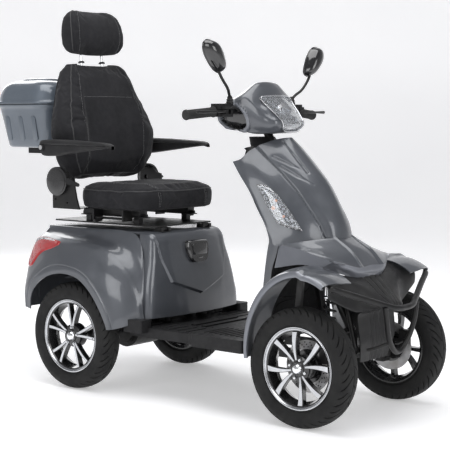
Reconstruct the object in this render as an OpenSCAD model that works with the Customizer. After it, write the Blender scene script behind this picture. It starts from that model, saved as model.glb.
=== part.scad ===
// Four-wheel mobility scooter: chassis, bodywork, sprung axles, steering, seat and rear box.
// Millimetres. +X is forwards, +Y is the rider's left, +Z is up, the floor is z = 0.
// The origin is on the floor below the middle of the whole scooter.

/* [Wheels] */
// Distance between the front and rear axles
wheelbase = 1081; // [1070:1:1090]
// Middle of a front tyre, from the centre line
front_half_track = 296; // [294:1:300]
// Middle of a rear tyre, from the centre line
rear_half_track = 325.5; // [324:0.5:328]
// Outside radius of a tyre
tyre_r = 210; // [206:1:211]
// Width of a tyre
tyre_w = 91; // [86:1:92]
// Radius of the bead seat on a rim
rim_r = 127; // [126:1:128]
// Outside radius of a rim flange
flange_r = 144; // [140:1:146]
// Width of a rim over its flanges
rim_w = 73; // [70:1:75]
// Radius of a front wheel spindle
front_spindle_r = 10; // [9:0.5:11]
// Radius of a rear wheel spindle
rear_spindle_r = 12; // [11:0.5:13]

/* [Steering] */
// Lean of the steering column, in degrees from upright
rake = 28.4; // [28:0.1:29]
// Height of the handlebar at the centre line
bar_z = 1090; // [1085:1:1095]
// Distance of the handlebar ahead of the rear axle
bar_x = 655; // [652:1:658]
// Radius of the handlebar tube
bar_r = 11; // [10:0.5:11.5]
// Radius of the steering shaft
column_r = 16; // [14:0.5:17]
// Distance of a kingpin from the centre line
kingpin_y = 232; // [230:1:233]
// Length of a steering arm
steer_arm = 85; // [83:1:87]

/* [Seat] */
// Height of the plate that carries the seat
plate_z = 640; // [638:1:642]
// Height of the top of the seat cushion
cushion_top = 800; // [790:1:805]
// Half width of the seat cushion
cushion_half = 240; // [235:1:242]
// Lean of the backrest, in degrees from upright
lean = 6; // [5:0.5:7]
// Height of the recline pivot
recline_z = 810; // [808:1:812]
// Distance of the recline pivot behind the rear axle
recline_x = 160; // [158:1:162]
// Height of the top of the headrest
headrest_top = 1520; // [1510:1:1525]

/* [Box] */
// Height of the parting line between the tub and the lid
box_rim_z = 1122; // [1118:1:1126]
// Distance of the back of the box behind the rear axle
box_back = 660; // [650:1:662]

/* [Hidden] */

// Radius of the bumper tube, and how far ahead of the rear axle its front run lies
bumper_r = 11;
bumper_x = 1304;
// The rear axle stands this far behind the middle of the scooter.
rear_axle_x = -(bumper_x + bumper_r - box_back) / 2;
// Clearance between a shaft and its bore
run = 0.05;
// Gap between neighbouring covers
gap = 1.5;
// Radius of the tyre beads
bead_r = rim_r + 1;
// Far beyond the scooter, for cutting tools
far = 3000;

// Colours
body_grey = [0.33, 0.37, 0.42];
box_grey = [0.47, 0.52, 0.58];
black = [0.06, 0.06, 0.065];
cloth = [0.13, 0.13, 0.14];
alloy = [0.72, 0.73, 0.75];
steel = [0.45, 0.46, 0.48];
tyre_black = [0.05, 0.05, 0.05];

// Unit vector up the steering axis, and a point t millimetres down it from the handlebar
axis_up = [-sin(rake), 0, cos(rake)];
function down_column(t) = [bar_x, 0, bar_z] - axis_up * t;

// ---------------------------------------------------------------- helpers

// Places its children, drawn with x from the rear axle, in the scooter's frame.
module at_axle() translate([rear_axle_x, 0, 0]) children();

// The children and their mirror image across the centre line
module both_sides() {
    children();
    mirror([0, 1, 0]) children();
}

// Round bar from a to b
module rod(a, b, r) {
    d = b - a;
    translate(a) rotate([0, acos(d[2] / norm(d)), atan2(d[1], d[0])]) cylinder(r = r, h = norm(d), $fn = 48);
}

// Round bar through several points; a ball a little larger than the bar covers each bend.
bend_extra = 0.4;
module bent_rod(points, r) {
    for (i = [0 : len(points) - 2]) rod(points[i], points[i + 1], r);
    for (i = [1 : 1 : len(points) - 2]) translate(points[i]) sphere(r = r + bend_extra, $fn = 48);
}

// Square bar from a to b
module square_bar(a, b, w) {
    d = b - a;
    translate(a) rotate([0, acos(d[2] / norm(d)), atan2(d[1], d[0])])
        translate([-w / 2, -w / 2, 0]) cube([w, w, norm(d)]);
}

// Box between two corners
module block(low, high) translate(low) cube(high - low);

// Outline in x and z, drawn out from y0 to y1
module side_plate(points, y0, y1)
    translate([0, y1, 0]) rotate([90, 0, 0]) linear_extrude(y1 - y0) polygon(points);

// Plate with rounded corners in plan
module slab(x0, x1, y0, y1, z0, z1, r) translate([0, 0, z0]) linear_extrude(z1 - z0) {
    translate([x0 + r, y0]) square([x1 - x0 - 2 * r, y1 - y0]);
    translate([x0, y0 + r]) square([x1 - x0, y1 - y0 - 2 * r]);
    for (x = [x0 + r, x1 - r], y = [y0 + r, y1 - r]) translate([x, y]) circle(r = r, $fn = 48);
}

// Smallest convex solid round a list of points and their mirror image
module skin(points, size = 1) hull() for (p = points, s = [-1, 1])
    translate([p[0], s * p[1], p[2]]) cube(size, center = true);

// Smallest convex solid round a list of points on one side
module side_skin(points, size = 1) hull() for (p = points) translate(p) cube(size, center = true);

// Everything on the upper side of a plane square to the steering axis, t down the column
module above_column_plane(t) translate(down_column(t)) rotate([0, -rake, 0])
    translate([-far / 2, -far / 2, 0]) cube(far);

// Everything on the lower side of that plane
module below_column_plane(t) translate(down_column(t)) rotate([0, -rake, 0])
    translate([-far / 2, -far / 2, -far]) cube(far);

// ---------------------------------------------------------------- wheels

// Places a right-hand wheel part: its own +Z becomes the outward side.
module on_front_wheel() at_axle() translate([wheelbase, -front_half_track, tyre_r]) rotate([90, 0, 0]) children();
module on_rear_wheel() at_axle() translate([0, -rear_half_track, tyre_r]) rotate([90, 0, 0]) children();

// Half of the tyre's outline, from the crown down to the bead and back up inside
tyre_half = [
    [tyre_r, 0], [tyre_r - 0.6, 0.1], [tyre_r - 2.5, 0.22], [tyre_r - 9, 0.34], [tyre_r - 20, 0.44], [tyre_r - 38, 0.5],
    [bead_r + 26, 0.46], [flange_r + 0.8, 0.348], [bead_r, 0.34], [bead_r, 0.24], [bead_r + 28, 0.36], [tyre_r - 36, 0.39],
    [tyre_r - 20, 0.3], [tyre_r - 12, 0]
];
tyre_last = len(tyre_half) - 1;
module tyre() color(tyre_black) rotate_extrude($fn = 128) polygon(concat(
    [for (p = tyre_half) [p[0], p[1] * tyre_w]],
    [for (i = [tyre_last - 1 : -1 : 1]) [tyre_half[i][0], -tyre_half[i][1] * tyre_w]]
));

// Barrel with its two flanges
module rim_barrel() rotate_extrude($fn = 128) polygon([
    [rim_r - 6, -rim_w / 2], [flange_r, -rim_w / 2], [flange_r, -rim_w / 2 + 3.5], [rim_r, -rim_w / 2 + 4.5],
    [rim_r, rim_w / 2 - 4.5], [flange_r, rim_w / 2 - 3.5], [flange_r, rim_w / 2], [rim_r - 6, rim_w / 2]
]);

// Spokes in pairs that start together at the hub and part towards the rim
module spokes(pairs, r0, foot, spread, z0, z1) for (k = [0 : pairs - 1], s = [-1, 1])
    rotate(k * 360 / pairs) translate([0, 0, z0]) linear_extrude(z1 - z0) polygon([
        [r0, s * 3], [r0, s * (3 + foot)],
        [(rim_r - 3) * cos(spread + 5), s * (rim_r - 3) * sin(spread + 5)],
        [(rim_r - 3) * cos(spread - 5), s * (rim_r - 3) * sin(spread - 5)]
    ]);

module rim_front() color(alloy) difference() {
    union() {
        rim_barrel();
        spokes(4, 26, 14, 22, 10, 26);
        translate([0, 0, -24]) cylinder(r = 34, h = 52, $fn = 64);
        translate([0, 0, 28]) cylinder(r = 25, h = 5, $fn = 64);
        for (k = [0 : 3]) rotate(45 + k * 90) translate([40, 0, 4]) cylinder(r = 9, h = 18, $fn = 6);
    }
    translate([0, 0, -25]) cylinder(r = front_spindle_r + run, h = 52, $fn = 64);
}

module rim_rear() color(alloy) difference() {
    union() {
        rim_barrel();
        spokes(5, 36, 12, 18, 8, 22);
        translate([0, 0, -30]) cylinder(r = 46, h = 54, $fn = 64);
        translate([0, 0, 24]) cylinder(r = 27, h = 8, $fn = 64);
    }
    translate([0, 0, -31]) cylinder(r = rear_spindle_r + run, h = 54, $fn = 64);
}

module brake_disc() color(steel) difference() {
    union() {
        translate([0, 0, -40]) cylinder(r = 92, h = 4, $fn = 96);
        translate([0, 0, -36]) cylinder(r = 30, h = 12, $fn = 64);
    }
    translate([0, 0, -41]) cylinder(r = front_spindle_r + 2, h = 20, $fn = 64);
    for (k = [0 : 11]) rotate(k * 30) translate([k % 2 == 0 ? 76 : 64, 0, -41]) cylinder(r = 4, h = 6, $fn = 24);
}

module tyre_front_right() on_front_wheel() tyre();
module tyre_front_left() mirror([0, 1, 0]) on_front_wheel() tyre();
module rim_front_right() on_front_wheel() rim_front();
module rim_front_left() mirror([0, 1, 0]) on_front_wheel() rim_front();
module brake_disc_right() on_front_wheel() brake_disc();
module brake_disc_left() mirror([0, 1, 0]) on_front_wheel() brake_disc();
module tyre_rear_right() on_rear_wheel() tyre();
module tyre_rear_left() mirror([0, 1, 0]) on_rear_wheel() tyre();
module rim_rear_right() on_rear_wheel() rim_rear();
module rim_rear_left() mirror([0, 1, 0]) on_rear_wheel() rim_rear();

// ---------------------------------------------------------------- front suspension and steering links

// Heights of the fork round each kingpin
fork_low = tyre_r - 38;
fork_high = tyre_r + 38;
kingpin_r = 9;
// Place of a front shock absorber
shock_x = wheelbase + 24;
shock_y = 172;
// Heights of the lower spring seats, and of the upper ends of all springs
front_seat_z = 262;
rear_seat_z = 249;
spring_top = 439;

module knuckle() color(steel) {
    translate([wheelbase, -kingpin_y, fork_low - 16]) cylinder(r = kingpin_r, h = 108, $fn = 48);
    translate([wheelbase, -kingpin_y, fork_low + 3]) cylinder(r = 20, h = 70, $fn = 48);
    rod([wheelbase, -kingpin_y, tyre_r], [wheelbase, -kingpin_y - 20, tyre_r], 26);
    rod([wheelbase, -kingpin_y - 18, tyre_r], [wheelbase, -front_half_track - 24, tyre_r], front_spindle_r);
    block([wheelbase - steer_arm, -kingpin_y - 9, 182], [wheelbase - 8, -kingpin_y + 9, 192]);
    translate([wheelbase - steer_arm, -kingpin_y, 182]) cylinder(r = 13, h = 10, $fn = 48);
    // Bracket and brake caliper over the front of the disc
    block([wheelbase + 12, -252, 226], [wheelbase + 62, -246, 244]);
    difference() {
        block([wheelbase + 48, -269, 226], [wheelbase + 88, -246, 278]);
        translate([wheelbase, -253, tyre_r]) rotate([90, 0, 0]) cylinder(r = 94, h = 10, $fn = 96);
    }
}
module knuckle_right() at_axle() knuckle();
module knuckle_left() mirror([0, 1, 0]) at_axle() knuckle();

module front_axle() color(black) at_axle() {
    rod([wheelbase, -192, tyre_r], [wheelbase, 192, tyre_r], 16);
    both_sides() {
        difference() {
            union() for (z = [fork_low - 12, fork_high]) {
                translate([wheelbase, -kingpin_y, z]) cylinder(r = 18, h = 12, $fn = 48);
                block([wheelbase - 18, -kingpin_y, z], [wheelbase + 18, -190, z + 12]);
            }
            translate([wheelbase, -kingpin_y, fork_low - 20]) cylinder(r = kingpin_r + run, h = 120, $fn = 48);
        }
        block([wheelbase - 18, -202, fork_low - 12], [wheelbase + 18, -190, fork_high + 12]);
        // Shock absorber foot and its piston rod
        block([wheelbase, -shock_y - 12, tyre_r - 8], [shock_x + 14, -shock_y + 12, front_seat_z - 4]);
        translate([shock_x, -shock_y, front_seat_z - 5]) cylinder(r = 26, h = 5, $fn = 48);
        translate([shock_x, -shock_y, front_seat_z - 5]) cylinder(r = 6, h = 150, $fn = 48);
    }
}

module front_shock_tubes() color(steel) at_axle() both_sides() translate([shock_x, -shock_y, 0]) {
    difference() {
        translate([0, 0, 355]) cylinder(r = 13, h = 122, $fn = 48);
        translate([0, 0, 354]) cylinder(r = 7, h = 90, $fn = 48);
    }
    translate([0, 0, 440]) cylinder(r = 26, h = 5, $fn = 48);
}

// Coil springs as plain sleeves; the turns are within this outer and inner radius.
module spring_sleeve(x, y, low, inner, outer) translate([x, -y, low + 1]) difference() {
    cylinder(r = outer, h = spring_top - low - 1, $fn = 48);
    translate([0, 0, -1]) cylinder(r = inner, h = spring_top - low + 1, $fn = 48);
}
module front_springs() color(black) at_axle() both_sides() spring_sleeve(shock_x, shock_y, front_seat_z, 17, 25);

// Centre pin of the tie rod, and the fork on the steering column that drives it
pin_t = 890;
pitman = 61.6;
pin_x = down_column(pin_t)[0] - pitman * cos(rake);

module tie_rod() color(steel) at_axle() {
    rod([wheelbase - steer_arm, -kingpin_y, 203], [wheelbase - steer_arm, kingpin_y, 203], 7);
    both_sides() translate([wheelbase - steer_arm, -kingpin_y, 193.5]) cylinder(r = 12, h = 19, $fn = 48);
    block([wheelbase - steer_arm - 4, -11, 199], [pin_x + 8, 11, 207]);
    translate([pin_x, 0, 203]) cylinder(r = 5, h = 112, $fn = 48);
}

// ---------------------------------------------------------------- rear axle

rear_shock_x = -45;
rear_shock_y = 170;

module rear_axle() color(black) at_axle() {
    // Motor and differential housing
    rod([28, -78, tyre_r], [28, 78, tyre_r], 78);
    rod([28, -96, tyre_r], [28, 96, tyre_r], 60);
    rod([0, -262, tyre_r], [0, 262, tyre_r], 24);
    rod([0, -rear_half_track - 22, tyre_r], [0, rear_half_track + 22, tyre_r], rear_spindle_r);
    both_sides() {
        block([rear_shock_x - 14, -rear_shock_y - 12, tyre_r - 8], [8, -rear_shock_y + 12, rear_seat_z - 4]);
        translate([rear_shock_x, -rear_shock_y, rear_seat_z - 5]) cylinder(r = 28, h = 5, $fn = 48);
        translate([rear_shock_x, -rear_shock_y, rear_seat_z - 5]) cylinder(r = 6, h = 165, $fn = 48);
    }
}

module rear_springs() color(black) at_axle() both_sides()
    spring_sleeve(rear_shock_x, rear_shock_y, rear_seat_z, 18, 27);

// ---------------------------------------------------------------- chassis

// Centre of the frame tubes from the centre line, and their half width
rail_y = 110;
rail_half = 15;
deck_low = 232;

module rail(x0, x1, z0, z1) block([x0, -rail_y - rail_half, z0], [x1, -rail_y + rail_half, z1]);
module cross_rail(x0, x1, z0, z1) block([x0, -rail_y, z0], [x1, rail_y, z1]);

module chassis_frame() color(black) at_axle() difference() {
    frame_tubes();
    rod(down_column(620), down_column(380), column_r + run);
}
module frame_tubes() {
    both_sides() {
        rail(190, 925, 195, 228);
        rail(190, 220, 195, 360);
        rail(-205, 220, 330, 360);
        rail(-165, -135, 355, 612);
        rail(262, 292, 195, 612);
        rail(-165, 292, 597, 612);
        // Upper mounts of the rear shock absorbers
        difference() {
            union() {
                translate([rear_shock_x, -rear_shock_y, 355]) cylinder(r = 14, h = 122, $fn = 48);
                translate([rear_shock_x, -rear_shock_y, 440]) cylinder(r = 28, h = 6, $fn = 48);
                block([rear_shock_x - 12, -rear_shock_y - 14, 462], [rear_shock_x + 12, -rail_y + 15, 477]);
            }
            translate([rear_shock_x, -rear_shock_y, 354]) cylinder(r = 7, h = 92, $fn = 48);
        }
        block([rear_shock_x - 12, -rail_y - 15, 355], [rear_shock_x + 12, -rail_y + 15, 477]);
        // Down tube, and the strut to the front shock tower
        square_bar([909, -rail_y + 2, 213], down_column(500) + [-10, -12, 0], 22);
        square_bar(down_column(470) + [18, -10, 0], [shock_x, -130, 492], 18);
        rod([shock_x + 2, -100, 492], [1168, -100, 250], 9);
    }
    for (x = [190, 560, 895]) cross_rail(x, x + 28, 198, 225);
    for (x = [-205, -165, 190]) cross_rail(x, x + 28, 333, 357);
    for (x = [-163, 264]) cross_rail(x, x + 26, 597, 612);
    block([-28, -96, 352], [256, 96, 360]);
    rod([shock_x, -shock_y - 14, 492], [shock_x, shock_y + 14, 492], 15);
    rod([1168, -106, 250], [1168, 106, 250], 12);
    rod(down_column(570), down_column(430), 27);
}

// Footboard: a tray with a raised sill each side; its middle is drawn in behind the rider's heels.
module floor_deck() color(black) at_axle() difference() {
    union() {
        slab(232, 842, -150, 150, deck_low, 268, 8);
        slab(560, 842, -300, 300, deck_low, 276, 10);
        slab(254, 842, -292, 292, deck_low, 268, 10);
        both_sides() {
            slab(596, 838, -330, -292, deck_low, 279, 12);
            slab(254, 350, -330, -264, 251, 300, 12);
        }
        for (k = [0 : 6]) block([430 + k * 52, -130, 266], [452 + k * 52, 130, 273]);
    }
    // Clearance for the frame rails and posts, the wheels and the steering links
    both_sides() {
        rail(180, 930, 190, 228 + 1);
        rail(255, 300, 190, 620);
        block([180, -340, 200], [252, -262, 320]);
    }
    block([895 - 60, -140, 190], [940, 140, 300]);
    block([260, -248, 190], [835, 248, 255]);
}

battery_z = 361;
module battery_pack() color([0.15, 0.16, 0.2]) at_axle() both_sides() {
    slab(-24, 236, -92, -2, battery_z, battery_z + 170, 6);
    for (x = [0, 212]) translate([x, -47, battery_z + 170]) cylinder(r = 8, h = 12, $fn = 32);
}

module motor_controller() color(alloy) at_axle() {
    slab(-125, -40, -70, 70, battery_z, battery_z + 44, 4);
    for (k = [0 : 5]) block([-122 + k * 15, -66, battery_z + 43], [-116 + k * 15, 66, battery_z + 58]);
}

// ---------------------------------------------------------------- rear bodywork

// Corners of the middle cover, from top to bottom
rear_cover = [
    [-288, 196, 622], [-240, 211, 622], [270, 211, 622], [302, 180, 622], [318, 60, 615],
    [-296, 196, 500], [352, 60, 545], [352, 50, 470], [338, 200, 430],
    [-270, 196, 400], [384, 30, 388], [-215, 262, 400], [300, 262, 300], [335, 240, 290], [360, 30, 290],
    [-215, 262, 305], [-250, 196, 305]
];
rear_cover_inside = [for (p = rear_cover) [p[0] * 0.97 - 1, p[1] - 6, p[2] < 310 ? p[2] - 60 : p[2] - 6]];

module rear_body_shell() color(body_grey) at_axle() difference() {
    skin(rear_cover);
    skin(rear_cover_inside);
    // Pocket for the charge port, holes for the seat plate's hinges
    block([320, -56, 496], [400, 56, 586]);
    block([-400, -400, 200], [-100, 400, 330]);
}

// Corners of one rear fender, right-hand side
fender_skin = [
    [-290, -190, 606], [-288, -250, 590], [-292, -240, 480], [-262, -352, 470], [-266, -362, 370], [-262, -364, 276],
    [-250, -262, 276], [-130, -268, 606], [60, -300, 578], [170, -320, 480], [-60, -345, 540], [-20, -364, 498],
    [250, -215, 608], [262, -250, 600], [232, -364, 262], [300, -326, 262], [308, -270, 262], [150, -362, 430]
];
fender_inside = [for (p = fender_skin) [p[0] * 0.97, p[1] + (p[1] < -340 ? 6 : 5), p[2] < 300 ? p[2] - 40 : p[2] - 6]];
arch_r = 250;

module rear_wheel_arch(r) side_plate([for (a = [0 : 7.5 : 352.5]) [r * cos(a), tyre_r + 8 + r * sin(a)]], -450, 450);

module rear_fenders() color(body_grey) at_axle() both_sides() difference() {
    side_skin(fender_skin);
    difference() {
        side_skin(fender_inside);
        rear_wheel_arch(arch_r + 4);
    }
    rear_wheel_arch(arch_r);
    skin([for (p = rear_cover) p + [sign(p[0]) * gap, gap, gap]]);
    block([-400, -400, 200], [600, 0, 262]);
    block([250, -340, 200], [500, -200, 302]);
    block([-340, -350, 450], [-255, -240, 575]);
}

// Lamp that wraps the rear corner
module tail_lamps() color([0.8, 0.05, 0.06]) at_axle() both_sides() side_skin([
    [-257, -262, 572], [-294, -244, 560], [-290, -250, 462], [-257, -345, 480], [-268, -330, 530], [-257, -252, 460]
]);

// Pin about which the seat plate tips, ahead of its front edge
plate_pin = [286, 631.5];
plate_pin_r = 4;
module plate_hinges() color(black) at_axle() both_sides() difference() {
    union() {
        for (y = [-150, -110]) slab(262, 298, y, y + 12, 622.6, 638.5, 1);
        block([262, -150, 622.6], [298, -98, 624]);
    }
    rod([plate_pin[0], -160, plate_pin[1]], [plate_pin[0], -88, plate_pin[1]], plate_pin_r + run);
}

module charge_port() color(black) at_axle() difference() {
    side_plate([[322, 584], [362, 584], [362, 512], [350, 498], [322, 498]], -54, 54);
    block([328, -48, 504], [350, 48, 578]);
    block([349, -44, 508], [370, 44, 576]);
}

module port_flap() color(black) at_axle() {
    block([351, -43, 509], [357, 43, 572]);
    rod([354, -43, 572], [354, 43, 572], 3);
    block([357, -14, 513], [361, 14, 522]);
}

// ---------------------------------------------------------------- front bodywork

shield_skin = [
    [690, 110, 962], [708, 100, 985], [760, 40, 990], [796, 50, 985],
    [716, 160, 890], [895, 75, 898], [760, 178, 812], [978, 80, 812],
    [836, 180, 700], [1046, 84, 690], [880, 178, 640], [1056, 76, 640], [884, 174, 616], [1040, 70, 612]
];
shield_inside = [for (p = shield_skin) [p[0] < 800 + (900 - p[2]) * 0.6 && p[1] > 90 ? p[0] - 30 : p[0] - 7,
    p[1] - 5, p[2] < 650 ? p[2] - 20 : p[2] - 5]];

module front_shield() color(body_grey) at_axle() difference() {
    intersection() {
        skin(shield_skin);
        below_column_plane(72);
    }
    skin(shield_inside);
    rod(down_column(-100), down_column(900), 34);
    indicator_pocket(0.6);
    leg_panel(gap);
}

// Tall lamps let into the sides of the shield
indicator_outline = [[776, 826], [858, 806], [930, 728], [972, 660], [866, 690]];
module indicator_pocket(grow) both_sides() side_plate([for (p = indicator_outline)
    [p[0] + grow * sign(p[0] - 880), p[1] + grow * sign(p[1] - 740)]], -190, -128);
module indicator_lamps() color([0.9, 0.6, 0.3]) at_axle() intersection() {
    skin(shield_skin);
    indicator_pocket(0);
}

// Panel on the rider's side of the column, down to the footboard
leg_outline = [[668, 955], [700, 880], [838, 637], [820, 482], [812, 282], [832, 282], [840, 482], [860, 640], [722, 885], [690, 962]];
module leg_panel(grow) side_plate([for (i = [0 : len(leg_outline) - 1])
    [leg_outline[i][0] + (i < 5 ? -grow : grow), leg_outline[i][1]]], -178 - grow, 178 + grow);
module leg_shield() color(black) at_axle() difference() {
    union() {
        leg_panel(0);
        both_sides() side_plate([[812, 282], [868, 282], [872, 480], [882, 612], [850, 612], [820, 482]], -178, -170);
    }
    block([600, -400, 940], [900, 400, 1000]);
    rod(down_column(-100), down_column(900), 34);
}

bonnet_skin = [
    [888, 182, 606], [990, 126, 634], [1116, 172, 566], [1166, 77, 541], [1172, 40, 536],
    [888, 184, 560], [1116, 176, 532], [1160, 77, 506], [1166, 40, 500], [900, 150, 560]
];
bonnet_inside = [for (p = bonnet_skin) [p[0] < 950 ? p[0] - 20 : p[0] - 6, p[1] - 5, p[2] < 565 ? p[2] - 30 : p[2] - 5]];

module bonnet() color(body_grey) at_axle() difference() {
    skin(bonnet_skin);
    skin(bonnet_inside);
    skin([for (p = shield_skin) p + [gap, gap, -gap]]);
    leg_panel(gap + 1);
    rod(down_column(0), down_column(900), 40);
}

nose_skin = [
    [1108, 222, 528], [1160, 274, 496], [1172, 280, 450], [1120, 240, 450], [1172, 78, 498], [1262, 45, 424], [1266, 40, 404],
    [1196, 150, 388], [1150, 150, 392]
];
nose_inside = [for (p = nose_skin) [p[0] - 7, p[1] - 5, p[2] - (p[2] < 440 ? 30 : 6)]];

module nose_grille() color(black) at_axle() difference() {
    skin(nose_skin);
    skin(nose_inside);
    skin([for (p = bonnet_skin) p + [gap, gap, -gap]]);
    for (k = [-2 : 2]) block([1200, k * 28 - 2, 380], [1300, k * 28 + 2, 401]);
    both_sides() translate([shock_x, -shock_y, 300]) cylinder(r = 34, h = 300, $fn = 48);
    fender_band(gap);
}

// Curve of a front fender, from its rear tip over the wheel to its front tip
fender_cx = wheelbase + 10;
fender_cz = 262;
function fender_point(a, grow) = [
    fender_cx + (236 + grow) * cos(a) * (cos(a) > 0 ? 0.98 : 1.04), fender_cz + (292 + grow) * sin(a) * (a < 90 ? 0.97 : 1)
];
function fender_outline(grow, depth) = concat(
    [for (a = [188 : -8 : 52]) fender_point(a, grow)], [for (a = [52 : 8 : 188]) fender_point(a, -depth)]
);
module fender_band(grow) both_sides() side_plate(fender_outline(grow, 7 + grow), -352, -192 + grow);

module front_fenders() color(body_grey) at_axle() both_sides() difference() {
    union() {
        side_plate(fender_outline(0, 5), -350, -192);
        side_plate(fender_outline(0, 24), -350, -344);
    }
    rod([bumper_x, -46, 405], [1205, -312, 491], bumper_r + gap);
    rod([1190, -298, 496], [1205, -312, 491], bumper_r + gap);
    translate([1205, -312, 491]) sphere(r = bumper_r + gap, $fn = 48);
}

module front_apron() color(black) at_axle() difference() {
    side_plate([[1176, 384], [1188, 384], [1204, 300], [1186, 206], [1180, 206], [1197, 300]], -122, 122);
    rod([1168, -130, 250], [1168, 130, 250], 13);
}

module bumper_bar() color(black) at_axle() {
    both_sides() {
        bent_rod([[1190, -298, 496], [1205, -312, 491], [bumper_x, -46, 405], [bumper_x, 0, 405]], bumper_r);
        bent_rod([[1301, -44, 400], [1282, -40, 262], [1276, -18, 242], [1276, 0, 242]], bumper_r - 1);
        rod([1284, -44, 280], [1210, -95, 256], 6);
    }
}

// ---------------------------------------------------------------- handlebar

module steering_column() color(black) at_axle() {
    rod(down_column(-20), down_column(900), column_r);
    rod([bar_x, -215, bar_z], [bar_x, 215, bar_z], bar_r);
    both_sides() {
        translate(bar_bend) sphere(r = bar_r + bend_extra, $fn = 48);
        rod(bar_bend, bar_end, bar_r);
    }
    // Fork that drives the tie rod's pin
    translate(down_column(pin_t)) rotate([0, -rake, 0]) {
        both_sides() block([-pitman - 10, -20, -8], [-10, -12, 8]);
        block([-34, -20, -8], [0, 20, 8]);
    }
}

bar_bend = [bar_x, -215, bar_z];
bar_end = [628, -385, 1075];
bar_dir = (bar_end - bar_bend) / norm(bar_end - bar_bend);

module grip() difference() {
    union() {
        rod(bar_bend + bar_dir * 42, bar_end + bar_dir * 3, 17);
        rod(bar_bend + bar_dir * 42, bar_bend + bar_dir * 48, 20);
        rod(bar_end - bar_dir * 2, bar_end + bar_dir * 3, 19);
    }
    rod(bar_bend + bar_dir * 30, bar_end + bar_dir * 0.5, bar_r + run);
}
module throttle_grip() color(black) at_axle() grip();
module grip_left() color(black) mirror([0, 1, 0]) at_axle() grip();

// Brake lever: a flat blade with a round end, turning on the pin in its perch
lever_pin = [682, -226];
module lever() translate([0, 0, 1080]) difference() {
    union() {
        linear_extrude(12) polygon([
            [676, -232], [690, -222], [702, -262], [698, -330], [690, -382], [680, -384], [684, -330], [688, -266]
        ]);
        translate([685, -384, 0]) cylinder(r = 7, h = 12, $fn = 48);
        translate([lever_pin[0], lever_pin[1], 0]) cylinder(r = 9, h = 14, $fn = 48);
    }
    translate([lever_pin[0], lever_pin[1], -1]) cylinder(r = 3 + run, h = 20, $fn = 48);
}
module brake_lever_right() color(alloy) at_axle() lever();
module brake_lever_left() color(alloy) mirror([0, 1, 0]) at_axle() lever();

module switch_pods() color(black) at_axle() {
    both_sides() translate([lever_pin[0], lever_pin[1], 1078]) cylinder(r = 3, h = 18, $fn = 48);
    switch_housings();
}
module switch_housings() difference() {
    both_sides() difference() {
        union() {
            block([632, -252, 1068], [676, -178, 1116]);
            block([664, -243, 1068], [692, -212, 1106]);
        }
        rod([bar_x, -100, bar_z], [bar_x, -216, bar_z], bar_r + run);
        rod([bar_x, -202, bar_z], [bar_x, -228, bar_z], bar_r + bend_extra + run);
        rod(bar_bend, bar_end, bar_r + run);
        // Slot of the brake lever
        block([666, -300, 1078.5], [720, -190, 1095.5]);
    }
    // Pocket of the horn button, left-hand side
    rod([620, 230, 1100], [645, 230, 1100], 7.2);
}

module horn_button() color([0.8, 0.5, 0.1]) at_axle() rod([626, 230, 1100], [638.5, 230, 1100], 7);

module mirror_arm() {
    bent_rod([[670, -190, 1116.4], [670, -190, 1132], [690, -226, 1168], [692, -268, 1216], [690, -296, 1262]], 6);
    hull() {
        translate([690, -318, 1302]) sphere(r = 38, $fn = 28);
        translate([690, -300, 1270]) sphere(r = 28, $fn = 28);
        translate([690, -268, 1216]) sphere(r = 9, $fn = 28);
    }
}
module mirror_shape() difference() {
    mirror_arm();
    block([400, -500, 1225], [680, 0, 1500]);
}
module mirror_right() color(black) at_axle() mirror_shape();
module mirror_left() color(black) mirror([0, 1, 0]) at_axle() mirror_shape();

pod_skin = [
    [592, 150, 1120], [588, 148, 1062], [606, 96, 1152], [668, 60, 1196], [704, 55, 1198], [740, 90, 1140],
    [778, 112, 1082], [806, 58, 1074], [806, 54, 1024], [778, 66, 1014], [640, 110, 1030], [600, 130, 1040]
];
pod_inside = [for (p = pod_skin) [p[0] < 620 ? p[0] + 4 : p[0] - 6, p[1] - 5, p[2] < 1066 ? p[2] + 4 : p[2] - 5]];

module headlamp_pod() color(body_grey) at_axle() difference() {
    intersection() {
        skin(pod_skin);
        above_column_plane(60);
    }
    skin(pod_inside);
    rod(down_column(-60), down_column(200), column_r + 4);
    rod([bar_x, -300, bar_z], [bar_x, 300, bar_z], bar_r + run);
    lamp_cut(0.5);
}

// Headlamp: the front corner of the pod, from the brow down to the chin
module lamp_cut(grow) side_plate([
    [728 - grow, 1150], [750 - grow, 1100], [786 - grow, 1034 - grow], [830, 1034 - grow], [830, 1150]
], -80 - grow, 80 + grow);
module headlamp_lens() color([0.85, 0.87, 0.9]) at_axle() intersection() {
    skin(pod_skin);
    lamp_cut(0);
}

// ---------------------------------------------------------------- seat

leg_x = [-100, 167];
leg_y = 142;
seat_bottom = 704;
// Bolt holes for a lap belt in each recline bracket
belt_holes = [[-178, 738], [-112, 724]];
belt_hole_r = 4.25;

module seat_plate() color(black) at_axle() {
    slab(-287, 284, -167, 167, plate_z, plate_z + 6, 8);
    both_sides() {
        for (x = leg_x) block([x - 14, -leg_y - 12, plate_z + 5], [x + 14, -leg_y + 12, plate_z + 32]);
        // Lower half of the seat slide
        block([-140, -leg_y - 16, plate_z + 31], [215, -leg_y + 16, plate_z + 35]);
        block([-140, -leg_y - 4, plate_z + 34], [215, -leg_y + 4, plate_z + 46]);
        // Knuckle of the plate's hinge, between its two brackets
        block([276, -137, plate_pin[1]], [290, -111, plate_z + 1]);
        rod([plate_pin[0], -137, plate_pin[1]], [plate_pin[0], -111, plate_pin[1]], 6.5);
        rod([plate_pin[0], -154, plate_pin[1]], [plate_pin[0], -94, plate_pin[1]], plate_pin_r);
    }
}

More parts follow.
